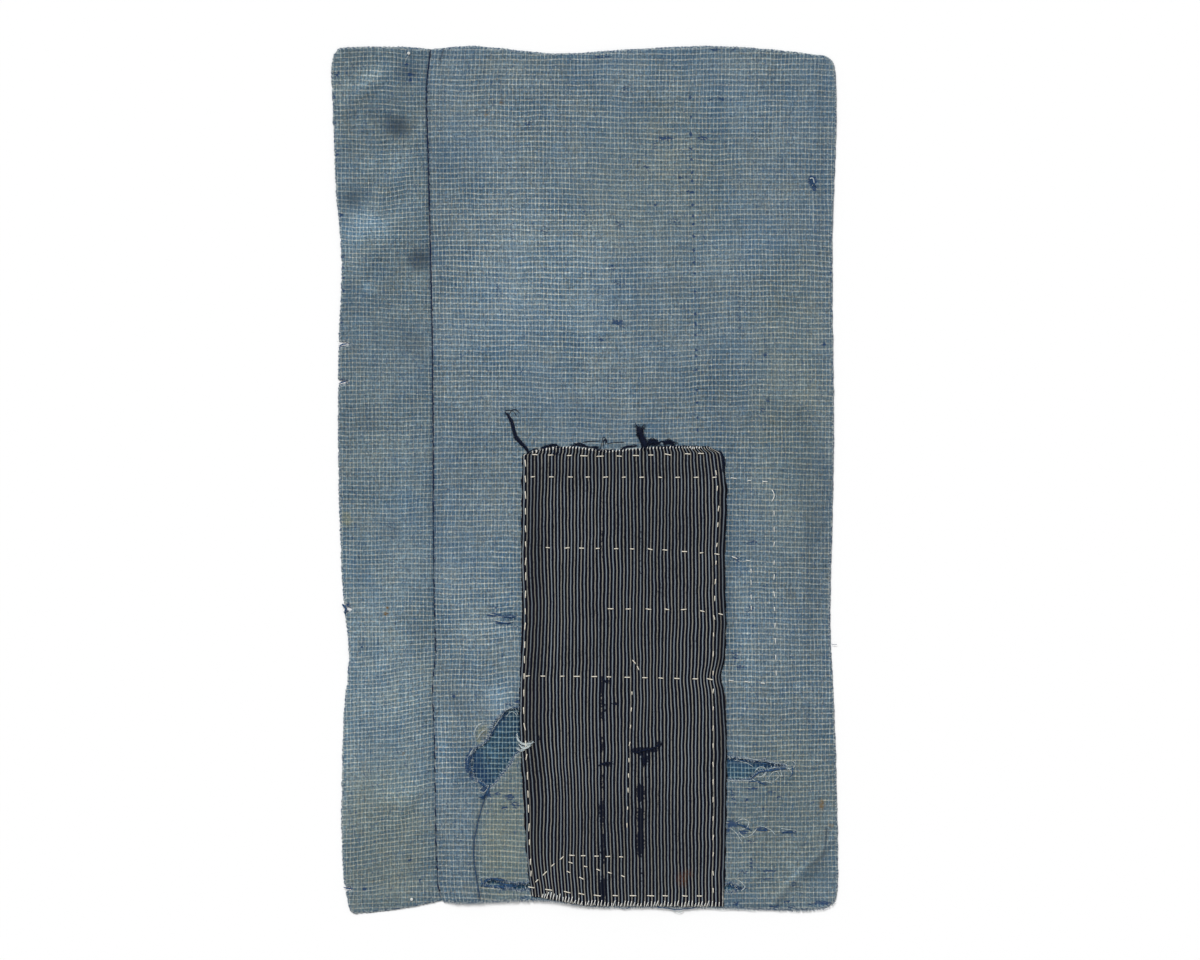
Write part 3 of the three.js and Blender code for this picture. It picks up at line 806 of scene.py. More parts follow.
# The side panel is a narrow strip of the same check, seamed to the left of the main
# panel. Its creases never pressed out, and its turned edge is worn and nicked.
SIDE_CREASES = [
    (-180, 325, 40, 70, 18, 2.5), (-162, 243, 58, 112, 28, 3.0), (-167, -159, 20, 46, 20, 1.5),
    (-148, -270, 56, 66, 18, 2.2), (-192, 60, 80, 130, 16, 0.8), (-150, 40, 100, 120, 22, 0.7),
    (-185, -60, 60, 60, 18, 0.6), (-170, 160, 55, 60, 24, 0.6),
]
SIDE_WEAR = [
    (-205, 336, 3, 3, 0.7), (-208.4, 318, 1.8, 1.6, 1.6), (-205.8, 270, 1.6, 1.2, 1.6),
    (-203, 220, 2.2, 1.6, 1.7), (-201, 185, 1.6, 1.1, 1.5), (-201, 176, 1.8, 1.2, 1.6),
    (-200.8, 167.7, 1.8, 1.2, 1.6), (-200.7, 157, 2.2, 1.5, 1.7), (-202, 131, 1.6, 1.2, 1.5),
    (-184.7, -138.6, 1.2, 1.2, 1.0), (-136.5, -332, 1.2, 1.2, 0.9), (-147.7, 344.5, 1.4, 2, 1.0),
    (-144.5, 336.6, 2.6, 1.6, 1.1), (-144.3, 332, 1.5, 1.5, 1.0), (-200, 113.4, 3.4, 1.4, 1.2),
    (-200, 81.4, 3.4, 1.6, 1.3), (-196, -339, 3.6, 1.5, 1.3), (-182.6, -339.5, 2, 1.6, 1.2),
    (-144.8, -315.4, 1.4, 1.3, 1.0), (-197, -106, 3.4, 5, 1.1), (-160, -42, 6, 8, 0.35),
    (-143, 114, 9, 9, 0.3),
]
# Dark blots among the strip's folds, painted darker both as stains and to deepen the shade of the folds:
# the middle of each, its half width, half height and strength
SIDE_DARK_BLOTS = [
    (-146.5, 340, 8, 7, 0.6), (-155.4, 293, 10, 9, 1.2), (-192, 232, 6, 6, 0.5), (-136.8, 183, 9, 9, 1.2),
    (-142, 113, 12, 12, 0.45), (-180, 50, 8, 12, 0.4), (-160, -41, 9, 8, 0.4), (-138, -124, 8, 8, 0.5),
    (-185, -138, 6, 6, 0.4),
]
# Painted light and shade of the strip's folds, lighter where they face the light and darker below them,
# with some paler places and a few small pale spots: the middle of each, its half width, half height and
# strength
SIDE_FOLD_LIGHT_AND_SHADE = [
    (-170, -170, 60, 130, 0.05), (-145, -254, 16, 26, 0.09), (-170, 300, 10, 10, -0.06),
    (-169, 342, 12, 8, 0.06), (-145, 90, 14, 50, 0.04), (-195, -190, 10, 110, 0.035),
    (-194, 182, 14, 24, 0.07), (-170, 212, 16, 22, 0.08), (-146, -22, 14, 26, 0.07),
    (-195, -300, 10, 20, 0.06), (-179.7, 161, 3, 3, 0.5), (-176, 158, 5, 4, 0.3),
    (-194, 340, 6, 8, -0.14), (-174, 334, 14, 10, 0.24), (-149, 338, 7, 6, -0.15),
    (-154, 293, 9, 8, -0.36), (-195, 297, 8, 14, -0.12), (-176, 264, 20, 8, 0.2),
    (-146, 262, 10, 8, 0.12), (-191, 234, 8, 9, -0.26), (-150, 248, 9, 18, 0.28),
    (-178, 212, 22, 14, 0.7), (-176, 284, 16, 9, -0.12), (-158, 137, 26, 22, -0.08),
    (-196, 200, 9, 22, 0.1), (-196, -150, 12, 120, 0.08), (-160, -205, 44, 44, 0.1),
    (-138, 184, 7, 7, -0.38), (-196, 190, 8, 20, 0.14), (-146, 150, 10, 14, 0.12),
    (-150, 115, 14, 12, -0.1), (-150, -10, 12, 60, 0.12), (-170, -150, 40, 90, 0.26),
    (-195, -66, 6, 12, 0.16), (-182, -134, 8, 8, -0.14), (-144, -188, 14, 22, 0.16),
    (-196, -235, 8, 34, 0.2), (-154, -254, 16, 14, 0.22), (-172, -326, 20, 10, -0.14),
    (-168, -352, 26, 6, -0.1),
]
SIDE_BROWN = [(-164.5, -111, 1.6, 1.3, 1.8), (-163.5, -106, 1.0, 1.0, 1.2), (-150.4, -226.8, 1.2, 1.0, 1.0)]
SIDE_KHAKI = [
    (-165, -300, 36, 70, 0.4), (-197.5, -32.5, 4, 6, 1.0),
]
SIDE_LINES = [([(-139, 300), (-150, 280), (-153, 262)], 1.3, 0.25)]
# Soft folds, raised in the cloth and also painted lighter as a highlight where they catch the light: the
# points of each, its half width and strength
SIDE_RIDGES = [
    ([(-166, -264), (-152, -262), (-142, -252), (-136, -238)], 5, 0.5),
    ([(-200, -196), (-176, -192), (-150, -182), (-130, -172)], 6, 0.28),
    ([(-196, -292), (-172, -290), (-150, -282)], 5, 0.3),
    ([(-206, 322), (-188, 328), (-170, 340)], 5, 0.45),
    ([(-204, 248), (-186, 254), (-166, 268), (-148, 272)], 6, 0.4),
    ([(-200, 196), (-184, 210), (-164, 218), (-140, 226)], 7, 0.5),
    ([(-196, 128), (-170, 134), (-146, 148)], 5, 0.25),
]
# Bands painted darker as shade between the folds, with the threads bent along them but the cloth not sunk:
# the points of each, its half width and strength
SIDE_SHADE_BANDS = [
    ([(-200, -218), (-176, -214), (-150, -206), (-134, -194)], 6, 0.25),
    ([(-190, -278), (-166, -276), (-146, -268)], 4, 0.3),
    ([(-198, 304), (-180, 308), (-160, 296)], 6, 0.3),
    ([(-202, 232), (-186, 236), (-168, 242)], 6, 0.3),
    ([(-168, 186), (-150, 184), (-134, 186)], 5, 0.3),
]
side_ridges, side_shade_bands = near_lines(SIDE_RIDGES), near_lines(SIDE_SHADE_BANDS)
SIDE_TOP = 359
SIDE_GRID = 2.6
PICK_PITCH = 3.8
SCALLOP = 0.5
side_loop = solid_outlines("side_panel")[0]
left_ends = edge_part(side_loop, side_loop[:, 0] < -190.6, 1)


def side_under(x, y):
    return creased(SIDE_CREASES, x, y) + settled(x, y) + 0.5 * side_ridges(x, y)


def side_face(x, y):
    seam = SEAM_SINK * ease(1 - (seam_x(y) - x) / 2.5)
    left_edge = np.interp(y, left_ends[:, 1], left_ends[:, 0])
    hem = HEM_EXTRA * ease((HEM_WIDTH + 1 - np.minimum(x - left_edge, SIDE_TOP - y)) / 2)
    return side_under(x, y) + CLOTH + hem - seam + 0.1 * drift(x, y, 12, 52)


def side_threads(x, y):
    lift = creased(SIDE_CREASES, x, y) + 1.6 * side_ridges(x, y) - side_shade_bands(x, y)
    slope = 0.1 * (x + 165) * ease((-120 - y) / 60) * ease((y + 352) / 30)
    along = y + 0.5 * lift - slope + 1.8 * drift(x, y, 80, 53) + 0.35 * drift(x, y, 30, 54) + 1.7
    return x + 0.4 * lift + 0.9 * drift(x, y, 100, 55), along


def scalloped(loop):
    """Draws the outer edge in between each pair of pale picks."""
    x, y = loop.T
    share = ease((-185 - x) / 6) * SCALLOP * np.abs(np.sin(pi * y / PICK_PITCH))
    return loop + np.column_stack([share, 0 * share])


strip_check = faded_check(
    "strip_check", srgb(56, 83, 101), srgb(99, 118, 126), srgb(208, 208, 195), 3.1, PICK_PITCH
)
side_panel = cloth_piece(
    "side_panel_cloth",
    [closed_seam(scalloped(worn_edge(side_loop, 1.6, 0.25, 0.25, 56)))],
    SIDE_GRID,
    side_under,
    side_face,
    side_threads,
    {
        "wear": spots(SIDE_WEAR),
        "stain": spots(SIDE_DARK_BLOTS),
        # tone: painted light and shade of the folds, lighter on the ridges and darker in the shade bands
        "tone": lambda x, y: toned(SIDE_FOLD_LIGHT_AND_SHADE)(x, y) + 0.2 * side_ridges(x, y) - 0.24 * side_shade_bands(x, y),
        "brown": spots(SIDE_BROWN),
        "khaki": spots(SIDE_KHAKI),
        "crease_shade": near_lines(SIDE_LINES),
        "seam": seam_groove_shade,
    },
    strip_check,
    SIDE_LINES,
    [small_spots(SIDE_WEAR + SIDE_BROWN)],
)
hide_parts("side_panel")


# The striped patch is one rectangle of near-black indigo and grey warp stripe, its
# edges turned under and sewn down. It puffs a little between its rows of stitches.
PATCH_CLOTH = 1.0
PATCH_GAP = 0.25
PATCH_GRID = 2.0
PATCH_MIDDLE = 31
STRIPE_REPEAT = 2.86
PATCH_TOP = 28.3
STITCH_SINK = 0.45
SINK_REACH = 2.4
# Each run of stitches: the points it passes, how many, how long and how slanted
RUNS = [
    ([(-41, 21), (20, 19.5), (97.5, 22)], 11, 5.8, 0),
    ([(-42.7, 2.6), (60, 2.2), (108, 2.2)], 11, 3.7, 0),
    ([(-30.3, -56.1), (60, -57.5), (110.2, -61.5)], 11, 4.0, 0),
    ([(21.8, -106.8), (90, -107.5), (113, -111.2)], 7, 4.6, 0),
    ([(-47.5, -162.5), (10, -163), (105, -165.2)], 12, 4.8, 0),
    ([(41, -150.5), (45.5, -157.5)], 2, 4.0, 0),
    ([(39.4, -176.8), (37, -230), (35.3, -286.4)], 9, 3.6, 0),
    ([(109.1, 6.6), (111.2, -23), (109.1, -68), (106.7, -140), (106.7, -341)], 24, 4.6, 0),
    ([(-49.0, 15), (-48.6, -80), (-50.4, -190), (-47.2, -245), (-45.6, -300), (-44.2, -328)], 26, 6.4, 0),
    ([(-43.8, -337.8), (-20, -341), (8, -344.5), (95.5, -344.9)], 11, 5.8, 0),
    ([(-39.5, -332.4), (-32, -325.3), (-25.5, -318.5), (-18.7, -313.4)], 4, 4.4, 0),
    ([(-10.4, -311.2), (30.5, -312.5)], 5, 4.0, 0),
    ([(-11.4, -317.3), (32.4, -328.7)], 5, 3.4, 0),
    ([(-13.2, -325), (-2.4, -330.2)], 2, 4.2, -4),
]
MAIN_RUNS = [
    ([(122.4, 1.7), (137.4, -0.5), (149.8, -1.3)], 3, 4.2, 0),
    ([(124, -64.3), (135.7, -66.8)], 2, 4.6, 0),
    ([(138.2, -75.4), (138.4, -106.2)], 4, 4.4, 0),
    ([(121.6, -166.3), (148.2, -168.5)], 3, 4.4, 0),
    ([(157.3, -27.5), (157.3, -90), (159, -160.2)], 11, 4.6, 0),
]


def stitches_on(runs, seed):
    """The middle, heading and length of each stitch of the runs, as a hand spaces them."""
    dice = np.random.default_rng(seed)
    placed = []
    for corners, count, length, slant in runs:
        corners = np.array(corners, float)
        run = np.concatenate([[0], np.cumsum(np.hypot(*np.diff(corners, axis=0).T))])
        stops = np.linspace(0, run[-1], count) + dice.normal(0, 0.8, count)
        for stop in np.clip(stops, 0, run[-1]):
            leg = min(np.searchsorted(run, stop, "right"), len(run) - 1) - 1
            step = corners[leg + 1] - corners[leg]
            spot = corners[leg] + step * (stop - run[leg]) / (run[leg + 1] - run[leg])
            heading = np.arctan2(step[1], step[0]) + radians(slant + dice.normal(0, 5))
            placed.append((*spot, heading, length * dice.uniform(0.78, 1.22)))
    return np.array(placed)


patch_stitches = stitches_on(RUNS, 61)
patch_loop = solid_outlines("striped_patch")[0]
patch_loop = patch_loop[patch_loop[:, 1] < PATCH_TOP]


def stitch_sink(x, y):
    """How far the tight thread draws the patch down near each stitch."""
    sink = 0 * x
    for middle_x, middle_y, heading, length in patch_stitches:
        dx, dy = x - middle_x, y - middle_y
        along = np.maximum(np.abs(dx * cos(heading) + dy * sin(heading)) - length / 2, 0)
        across = dy * cos(heading) - dx * sin(heading)
        sink = np.maximum(sink, np.exp(-(along**2 + across**2) / SINK_REACH**2))
    return STITCH_SINK * sink


def patch_under(x, y):
    return main_under(x, y) + CLOTH + PATCH_GAP


def patch_face(x, y):
    puff = 0.3 * drift(x, y, 15, 62) + 0.12 * drift(x, y, 6, 63)
    return patch_under(x, y) + PATCH_CLOTH + 0.25 + puff - stitch_sink(x, y)


patch_left = edge_part(patch_loop, patch_loop[:, 0] < PATCH_MIDDLE - 74, 1)
patch_right = edge_part(patch_loop, patch_loop[:, 0] > PATCH_MIDDLE + 74, 1)


def patch_threads(x, y):
    left = np.interp(y, patch_left[:, 1], patch_left[:, 0])
    right = np.interp(y, patch_right[:, 1], patch_right[:, 0])
    pull_left = (left + 52.5) * np.exp(-np.maximum(x - left, 0) / 45)
    pull_right = (right - 117) * np.exp(-np.maximum(right - x, 0) / 22)
    sway = 0.5 * drift(x, y * 0.6, 34, 64) + 0.2 * drift(x * 0.7, y, 14, 65)
    lean = 2.2 * np.exp(-(((y + 262) / 34) ** 2 + ((x + 28) / 20) ** 2))
    return x - pull_left - pull_right + sway - lean, y + 0.4 * drift(x, y, 30, 66)


def striped_finish():
    """Two pale ends and three near-black ones, the pale blue-grey and tan by turns."""
    finish = Finish("indigo_stripe")
    place = finish.mark("thread", "Vector")
    across, along = finish.parts(place)
    across = across + (finish.noise(place, 0.09, 1) - 0.5) * 0.9
    end = across / (STRIPE_REPEAT / ENDS)
    end_no = end.floor()
    pick = along / 0.6
    tone = finish.noise(finish.join(end_no * 3.7, along * 0.05), 1.0, 3, 3.0)
    slub = finish.noise(finish.join(end_no * 5.1, along * 0.4), 1.0, 4, 2.0)
    pale_end = finish.step((end % ENDS - 0.95).size(), 0.92, 0.64)
    tan_turn = ((end_no / ENDS).floor() % 2) > 0.5
    broad = finish.noise(place, 0.03, 5, 3.0)
    pale = finish.mix(tan_turn, srgb(136, 147, 155), srgb(149, 148, 139))
    night = finish.mix(finish.step(tone, 0.3, 0.7), srgb(3, 5, 15), srgb(7, 10, 29))
    strength = finish.step(slub * 0.5 + tone * 0.3 + broad * 0.2, 0.28, 0.52) * 0.85 + 0.1
    colour = finish.mix(pale_end * strength, night, pale)
    crossing = finish.step(pick.hump(), 0.0, 0.6)
    colour = finish.mix((1 - crossing) * 0.5, colour, srgb(14, 15, 24))
    broken = finish.noise(finish.join(across * 1.2, along * 0.6), 0.8, 6, 4.0)
    wear = finish.step(finish.mark("wear") + (broken - 0.5) * 2.6, 0.5, 0.8)
    # deep: darker places, with a painted shadow down the right edge
    colour = finish.mix(finish.mark("deep") * 0.6, colour, srgb(18, 19, 27))
    colour = finish.mix(wear * 0.9, colour, srgb(9, 14, 30))
    stain = finish.mark("stain") * finish.step(broken, 0.35, 0.6)
    colour = finish.mix(stain * 0.7, colour, srgb(92, 56, 36))
    rim = (1 - finish.step(finish.mark("rim"), 0.5, 2.0)) * finish.mark("ends") * pale_end
    colour = finish.mix(rim * finish.step(slub, 0.35, 0.55) * 0.85, colour, srgb(204, 200, 190))
    height = end.hump() * 0.7 + pick.hump() * 0.4 + finish.noise(place, 2.4, 8, 2.0) * 0.5
    return finish.made(colour, 0.9, height, 0.12, 0.02)


PATCH_WEAR = [
    (47, -224.5, 9, 2.8, 1.5), (56, -224, 6, 1.8, 1.2), (62, -218.5, 2.5, 3, 1.2),
    (50, -231, 3.6, 4.4, 1.4), (17.5, -167, 5, 2, 1.0), (25.5, -185.5, 3, 1.4, 1.0),
    (17.5, -235.5, 6, 2.4, 1.0), (15, -50, 1.6, 18, 0.7), (14.5, -172, 2.0, 10, 1.1),
    (15, -190, 2.2, 12, 0.95), (14.5, -219, 1.8, 8, 0.85), (15, -250, 1.8, 10, 0.8),
    (14.5, -275, 2.4, 12, 1.1), (15.5, -305, 2.4, 16, 1.05), (15, -340, 2.8, 12, 1.2),
    (46, -70, 1.2, 60, 0.5), (46.5, -259, 3.4, 8, 1.4), (46.5, -281, 2.9, 12, 1.2),
    (46.5, -300, 3.2, 14, 1.3), (47, -330, 1.6, 14, 0.6), (-20, -180, 3, 2, 0.7), (70, -216, 3, 4, 0.6),
    (62, -100, 1.4, 24, 0.5), (-24, 22, 5, 3, 0.7), (2, -232, 3, 2, 0.6), (-38, -214, 2, 3, 0.8),
]
# Where the patch is painted darker: a painted shadow down its right edge, and darker bands along its left
# and top edges and darker patches in the middle: the middle of each, its half width, half height and
# strength
PATCH_DARKER_AND_SHADOW = [
    (-42, -150, 9, 230, 0.6), (114, -160, 4.5, 220, 0.8), (40, 12, 90, 14, 0.4), (62, -40, 34, 40, 0.3),
    (30, -100, 50, 30, 0.16), (30, -300, 60, 50, 0.3), (40, -140, 50, 90, 0.2),
]
PATCH_STAIN = [
    (81, -331, 4, 6, 0.7), (86, -326, 4, 3, 0.5),
]


def patch_ends(x, y):
    """1 along the top and bottom turns, where the warp bends back, and 0 down the sides."""
    return np.maximum(ease((y - 14) / 6), ease((-336 - y) / 6))


patch = cloth_piece(
    "striped_patch_cloth",
    [worn_edge(patch_loop, 1.2, 0.3, 0.25, 67)],
    PATCH_GRID,
    patch_under,
    patch_face,
    patch_threads,
    {"wear": spots(PATCH_WEAR), "deep": spots(PATCH_DARKER_AND_SHADOW), "stain": spots(PATCH_STAIN), "ends": patch_ends},
    striped_finish(),
)
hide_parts("striped_patch")


# The running stitches are thick cream cotton. Rows and columns of them hold the patch
# down, and some run on over the check, where they hold the mending piece behind it.
THREAD = 0.42
FINE_THREAD = 0.33
KNOT = 0.62
KNOTS = [(-145.7, 354), (-143.4, -348)]
LONG_STITCH = [(155.4, -8), (157.6, -11.4), (157.5, -14.6), (155.2, -17.8)]


def thread_finish(name, dark, light):
    """A soft two-ply thread: its colour uneven along it, with a faint twist."""
    finish = Finish(name)
    place = finish.node("ShaderNodeTexCoord", {}, {}, "Object")
    speck = finish.noise(place, 1.4 / MM, 1, 3.0)
    colour = finish.mix(finish.step(speck, 0.35, 0.65), dark, light)
    twist = finish.noise(place, 4 / MM, 2, 2.0)
    return finish.made(colour, 0.9, twist, 0.08, 0.06)


def thread_piece(name, paths, radii, sides, finish):
    """Round threads along paths of points in mm, as one piece. The ends are closed."""
    if np.isscalar(radii):
        radii = [radii] * len(paths)
    places, faces = [], []
    turns = np.linspace(0, 2 * pi, sides, endpoint=False)
    for path, radius in zip(paths, radii):
        path = np.asarray(path, float)
        ahead = np.gradient(path, axis=0)
        ahead /= np.maximum(np.linalg.norm(ahead, axis=1), 1e-9)[:, None]
        side = np.cross(ahead, (0.03, 0.02, 1))
        side /= np.linalg.norm(side, axis=1)[:, None]
        rise = np.cross(side, ahead)
        widths = np.broadcast_to(radius, len(path))[:, None, None]
        around = np.cos(turns)[:, None] * side[:, None] + np.sin(turns)[:, None] * rise[:, None]
        rings = path[:, None] + widths * around
        first = len(places)
        places += rings.reshape(-1, 3).tolist()
        for n in range(len(path) - 1):
            for k in range(sides):
                a, b = first + n * sides + k, first + n * sides + (k + 1) % sides
                faces.append((a, a + sides, b + sides, b))
        faces.append(tuple(first + k for k in range(sides)))
        last = first + (len(path) - 1) * sides
        faces.append(tuple(last + k for k in reversed(range(sides))))
    mesh = bpy.data.meshes.new(name)
    mesh.from_pydata((np.array(places) * MM).tolist(), [], faces)
    piece = add_object(name, mesh, finish)
    return piece


def stitch_paths(stitches, face):
    """Each stitch comes up through the cloth, lies on it and goes down again."""
    levels = face(stitches[:, 0], stitches[:, 1])
    shares = np.linspace(-0.5, 0.5, 9)
    rise = THREAD * (1.15 - 3.2 * np.abs(2 * shares) ** 5)
    paths = []
    for (middle_x, middle_y, heading, length), level in zip(stitches, levels):
        x = middle_x + shares * length * cos(heading)
        y = middle_y + shares * length * sin(heading)
        paths.append(np.column_stack([x, y, level + rise]))
    return paths


cream_thread = thread_finish("cream_cotton_thread", srgb(204, 196, 178), srgb(236, 230, 216))
main_stitches = stitches_on(MAIN_RUNS, 68)
patch_paths = stitch_paths(patch_stitches, patch_face)
running_stitches = thread_piece("running_stitches", patch_paths, THREAD, 6, cream_thread)
white_thread = thread_finish("white_cotton_thread", srgb(206, 206, 200), srgb(240, 240, 236))
main_paths = stitch_paths(main_stitches, main_face)
long_stitch = along_path(LONG_STITCH, 0.8)
arch = THREAD * (1.15 - 1.6 * np.linspace(-1, 1, len(long_stitch)) ** 6)
main_paths.append(np.column_stack([long_stitch, main_face(*long_stitch.T) + arch]))
turns = np.linspace(0, 5 * pi, 30)
for knot_x, knot_y in KNOTS:
    rise = side_face(np.array([knot_x]), np.array([knot_y]))[0] + 0.2
    curl = KNOT * np.column_stack([np.cos(turns), np.sin(turns)]) + (knot_x, knot_y)
    main_paths.append(np.column_stack([curl, rise + turns * 0.04]))
main_radii = [FINE_THREAD] * (len(main_paths) - len(KNOTS)) + [KNOT] * len(KNOTS)
check_stitches = thread_piece("check_stitches", main_paths, main_radii, 6, white_thread)


# The seam between the two panels is sewn with dark indigo thread, sunk in the groove
# where both turned edges meet.
SEAM_THREAD = 0.46
SEAM_TOP = 356.5
SEAM_FOOT = -347
# The sunk thread's radius at heights of the cloth
SEAM_CORD = [(-346, 0.3), (-140, 0.36), (-60, 0.44), (0, 0.5), (60, 0.54), (200, 0.56), (356, 0.48)]
seam_dice = np.random.default_rng(71)
cord_y = np.arange(SEAM_TOP, SEAM_FOOT, -1.5)
cord_x = seam_x(cord_y)
cord_radius = np.interp(cord_y, *np.array(SEAM_CORD).T)
cord_radius = cord_radius * (0.86 + 0.3 * drift(0 * cord_y, cord_y, 6, 72))
seam_paths = [np.column_stack([cord_x, cord_y, main_face(cord_x + 0.1, cord_y) + cord_radius - 0.6])]
place_y = SEAM_TOP - 1.5
while place_y > SEAM_FOOT + 1:
    length = seam_dice.uniform(3, 8)
    y = np.linspace(place_y, place_y - length, 6)
    x = seam_x(y) + np.linspace(-0.3, 0.3, 6) * seam_dice.uniform(0, 2)
    level = main_face(x + 0.6, y) + 0.3 - 0.5 * np.abs(np.linspace(-1, 1, 6)) ** 4
    seam_paths.append(np.column_stack([x, y, level]))
    place_y -= length + seam_dice.uniform(0.8, 4.5 if place_y > 0 else 16)
seam_radii = [cord_radius] + [SEAM_THREAD] * (len(seam_paths) - 1)
seam_thread = thread_finish("seam_cotton_thread", srgb(8, 18, 42), srgb(24, 42, 74))
seam_stitches = thread_piece("seam_stitches", seam_paths, seam_radii, 6, seam_thread)


# The patch's pale warp ends bend over its turned top edge and stick out of its raw
# bottom edge, where they are whiter than on the face, which has darkened with use.
BENT_END = 0.34
MENDING_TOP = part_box("backing_lower")[1][2] / MM
end_dice = np.random.default_rng(69)


def bent_ends(edge, way, inner, outer, slant):
    """A short thread over an edge at each pale stripe, from inner mm inside it to outer mm past it.

    way is 1 at the top edge and -1 at the bottom one."""
    paths = []
    for stripe in np.arange(edge[0, 0] + 2, edge[-1, 0] - 1, STRIPE_REPEAT):
        wanted = (np.floor(stripe / STRIPE_REPEAT) + 0.2) * STRIPE_REPEAT
        edge_y = np.interp(wanted, *edge.T)
        shift = patch_threads(np.array([wanted]), np.array([edge_y]))[0][0] - wanted
        run = np.linspace(-inner * end_dice.uniform(0.6, 1.3), outer * end_dice.uniform(0.5, 1.3), 7)
        lean = slant * end_dice.uniform(0.2, 1.6) * (run - run[0]) / (run[-1] - run[0])
        x = wanted - shift + lean
        y = edge_y + way * run
        drop = 0.9 * ease(run / outer + 0.3)
        paths.append(np.column_stack([x, y, 0.12 - drop]))
    return paths


def rest_height(x, y):
    """The height of whatever loose thread would lie on at each place."""
    places = np.column_stack([x, y])
    on_patch = inside(places, [patch_loop])
    in_hole = inside(places, hole_edges)
    top = np.where(on_patch, patch_face(x, y), np.where(x < seam_x(y), side_face(x, y), main_face(x, y)))
    return np.where(in_hole & ~on_patch, MENDING_TOP, top)


def laid(paths):
    """The paths, given as x, y and a height over what they lie on, in their places."""
    places = np.vstack(paths)
    places[:, 2] += rest_height(places[:, 0], places[:, 1])
    return np.split(places, np.cumsum([len(path) for path in paths])[:-1])


near_top = (patch_loop[:, 1] > 18) & (np.abs(patch_loop[:, 0] - PATCH_MIDDLE) < 80)
top_edge = edge_part(patch_loop, near_top, 0)
low_edge = edge_part(patch_loop, patch_loop[:, 1] < -344, 0)
end_paths = laid(bent_ends(top_edge, 1, 1.8, 1.0, 0.8) + bent_ends(low_edge, -1, 4.0, 1.6, -1.6))
warp_ends = thread_piece("warp_ends", end_paths, BENT_END, 5, white_thread)


# The patch's dark warp ends have worked loose along its top edge. They are near-black
# indigo, some in twisted locks and some in single loops, and lie on the check.
FIBRE = 0.17


def locks(rows, seed):
    """Fibres along paths. Each row has a path, how many, how far they spread and how curly."""
    dice = np.random.default_rng(seed)
    paths = []
    for points, count, spread, curl in rows:
        middle = along_path(points, 0.8)
        for _ in range(count):
            first = dice.uniform(0, 0.3) if count > 4 else 0
            last = 1 - dice.uniform(0, 0.3) if count > 4 else 1
            some = middle[int(first * (len(middle) - 4)):max(int(last * len(middle)), 4)]
            run = np.arange(len(some)) * 0.8
            turns = run / dice.uniform(1.5, 4) + dice.uniform(0, 2 * pi)
            reach = spread * dice.uniform(0.2, 1) * (0.7 + 0.5 * run / max(run[-1], 1))
            ahead = np.gradient(some, axis=0)
            ahead /= np.maximum(np.hypot(*ahead.T), 1e-9)[:, None]
            away = reach * (np.cos(turns) * 0.5 + dice.uniform(-0.6, 0.6))
            away = away + curl * np.sin(run / dice.uniform(0.8, 2.2) + dice.uniform(0, 6))
            slip = reach * np.sin(turns) * 0.5 + curl * np.cos(run / dice.uniform(0.8, 2.2))
            place = some + ahead[:, ::-1] * (1, -1) * away[:, None] + ahead * slip[:, None]
            paths.append(np.column_stack([place, FIBRE + spread * 0.2 * (1 + np.sin(turns * 1.3))]))
    return paths


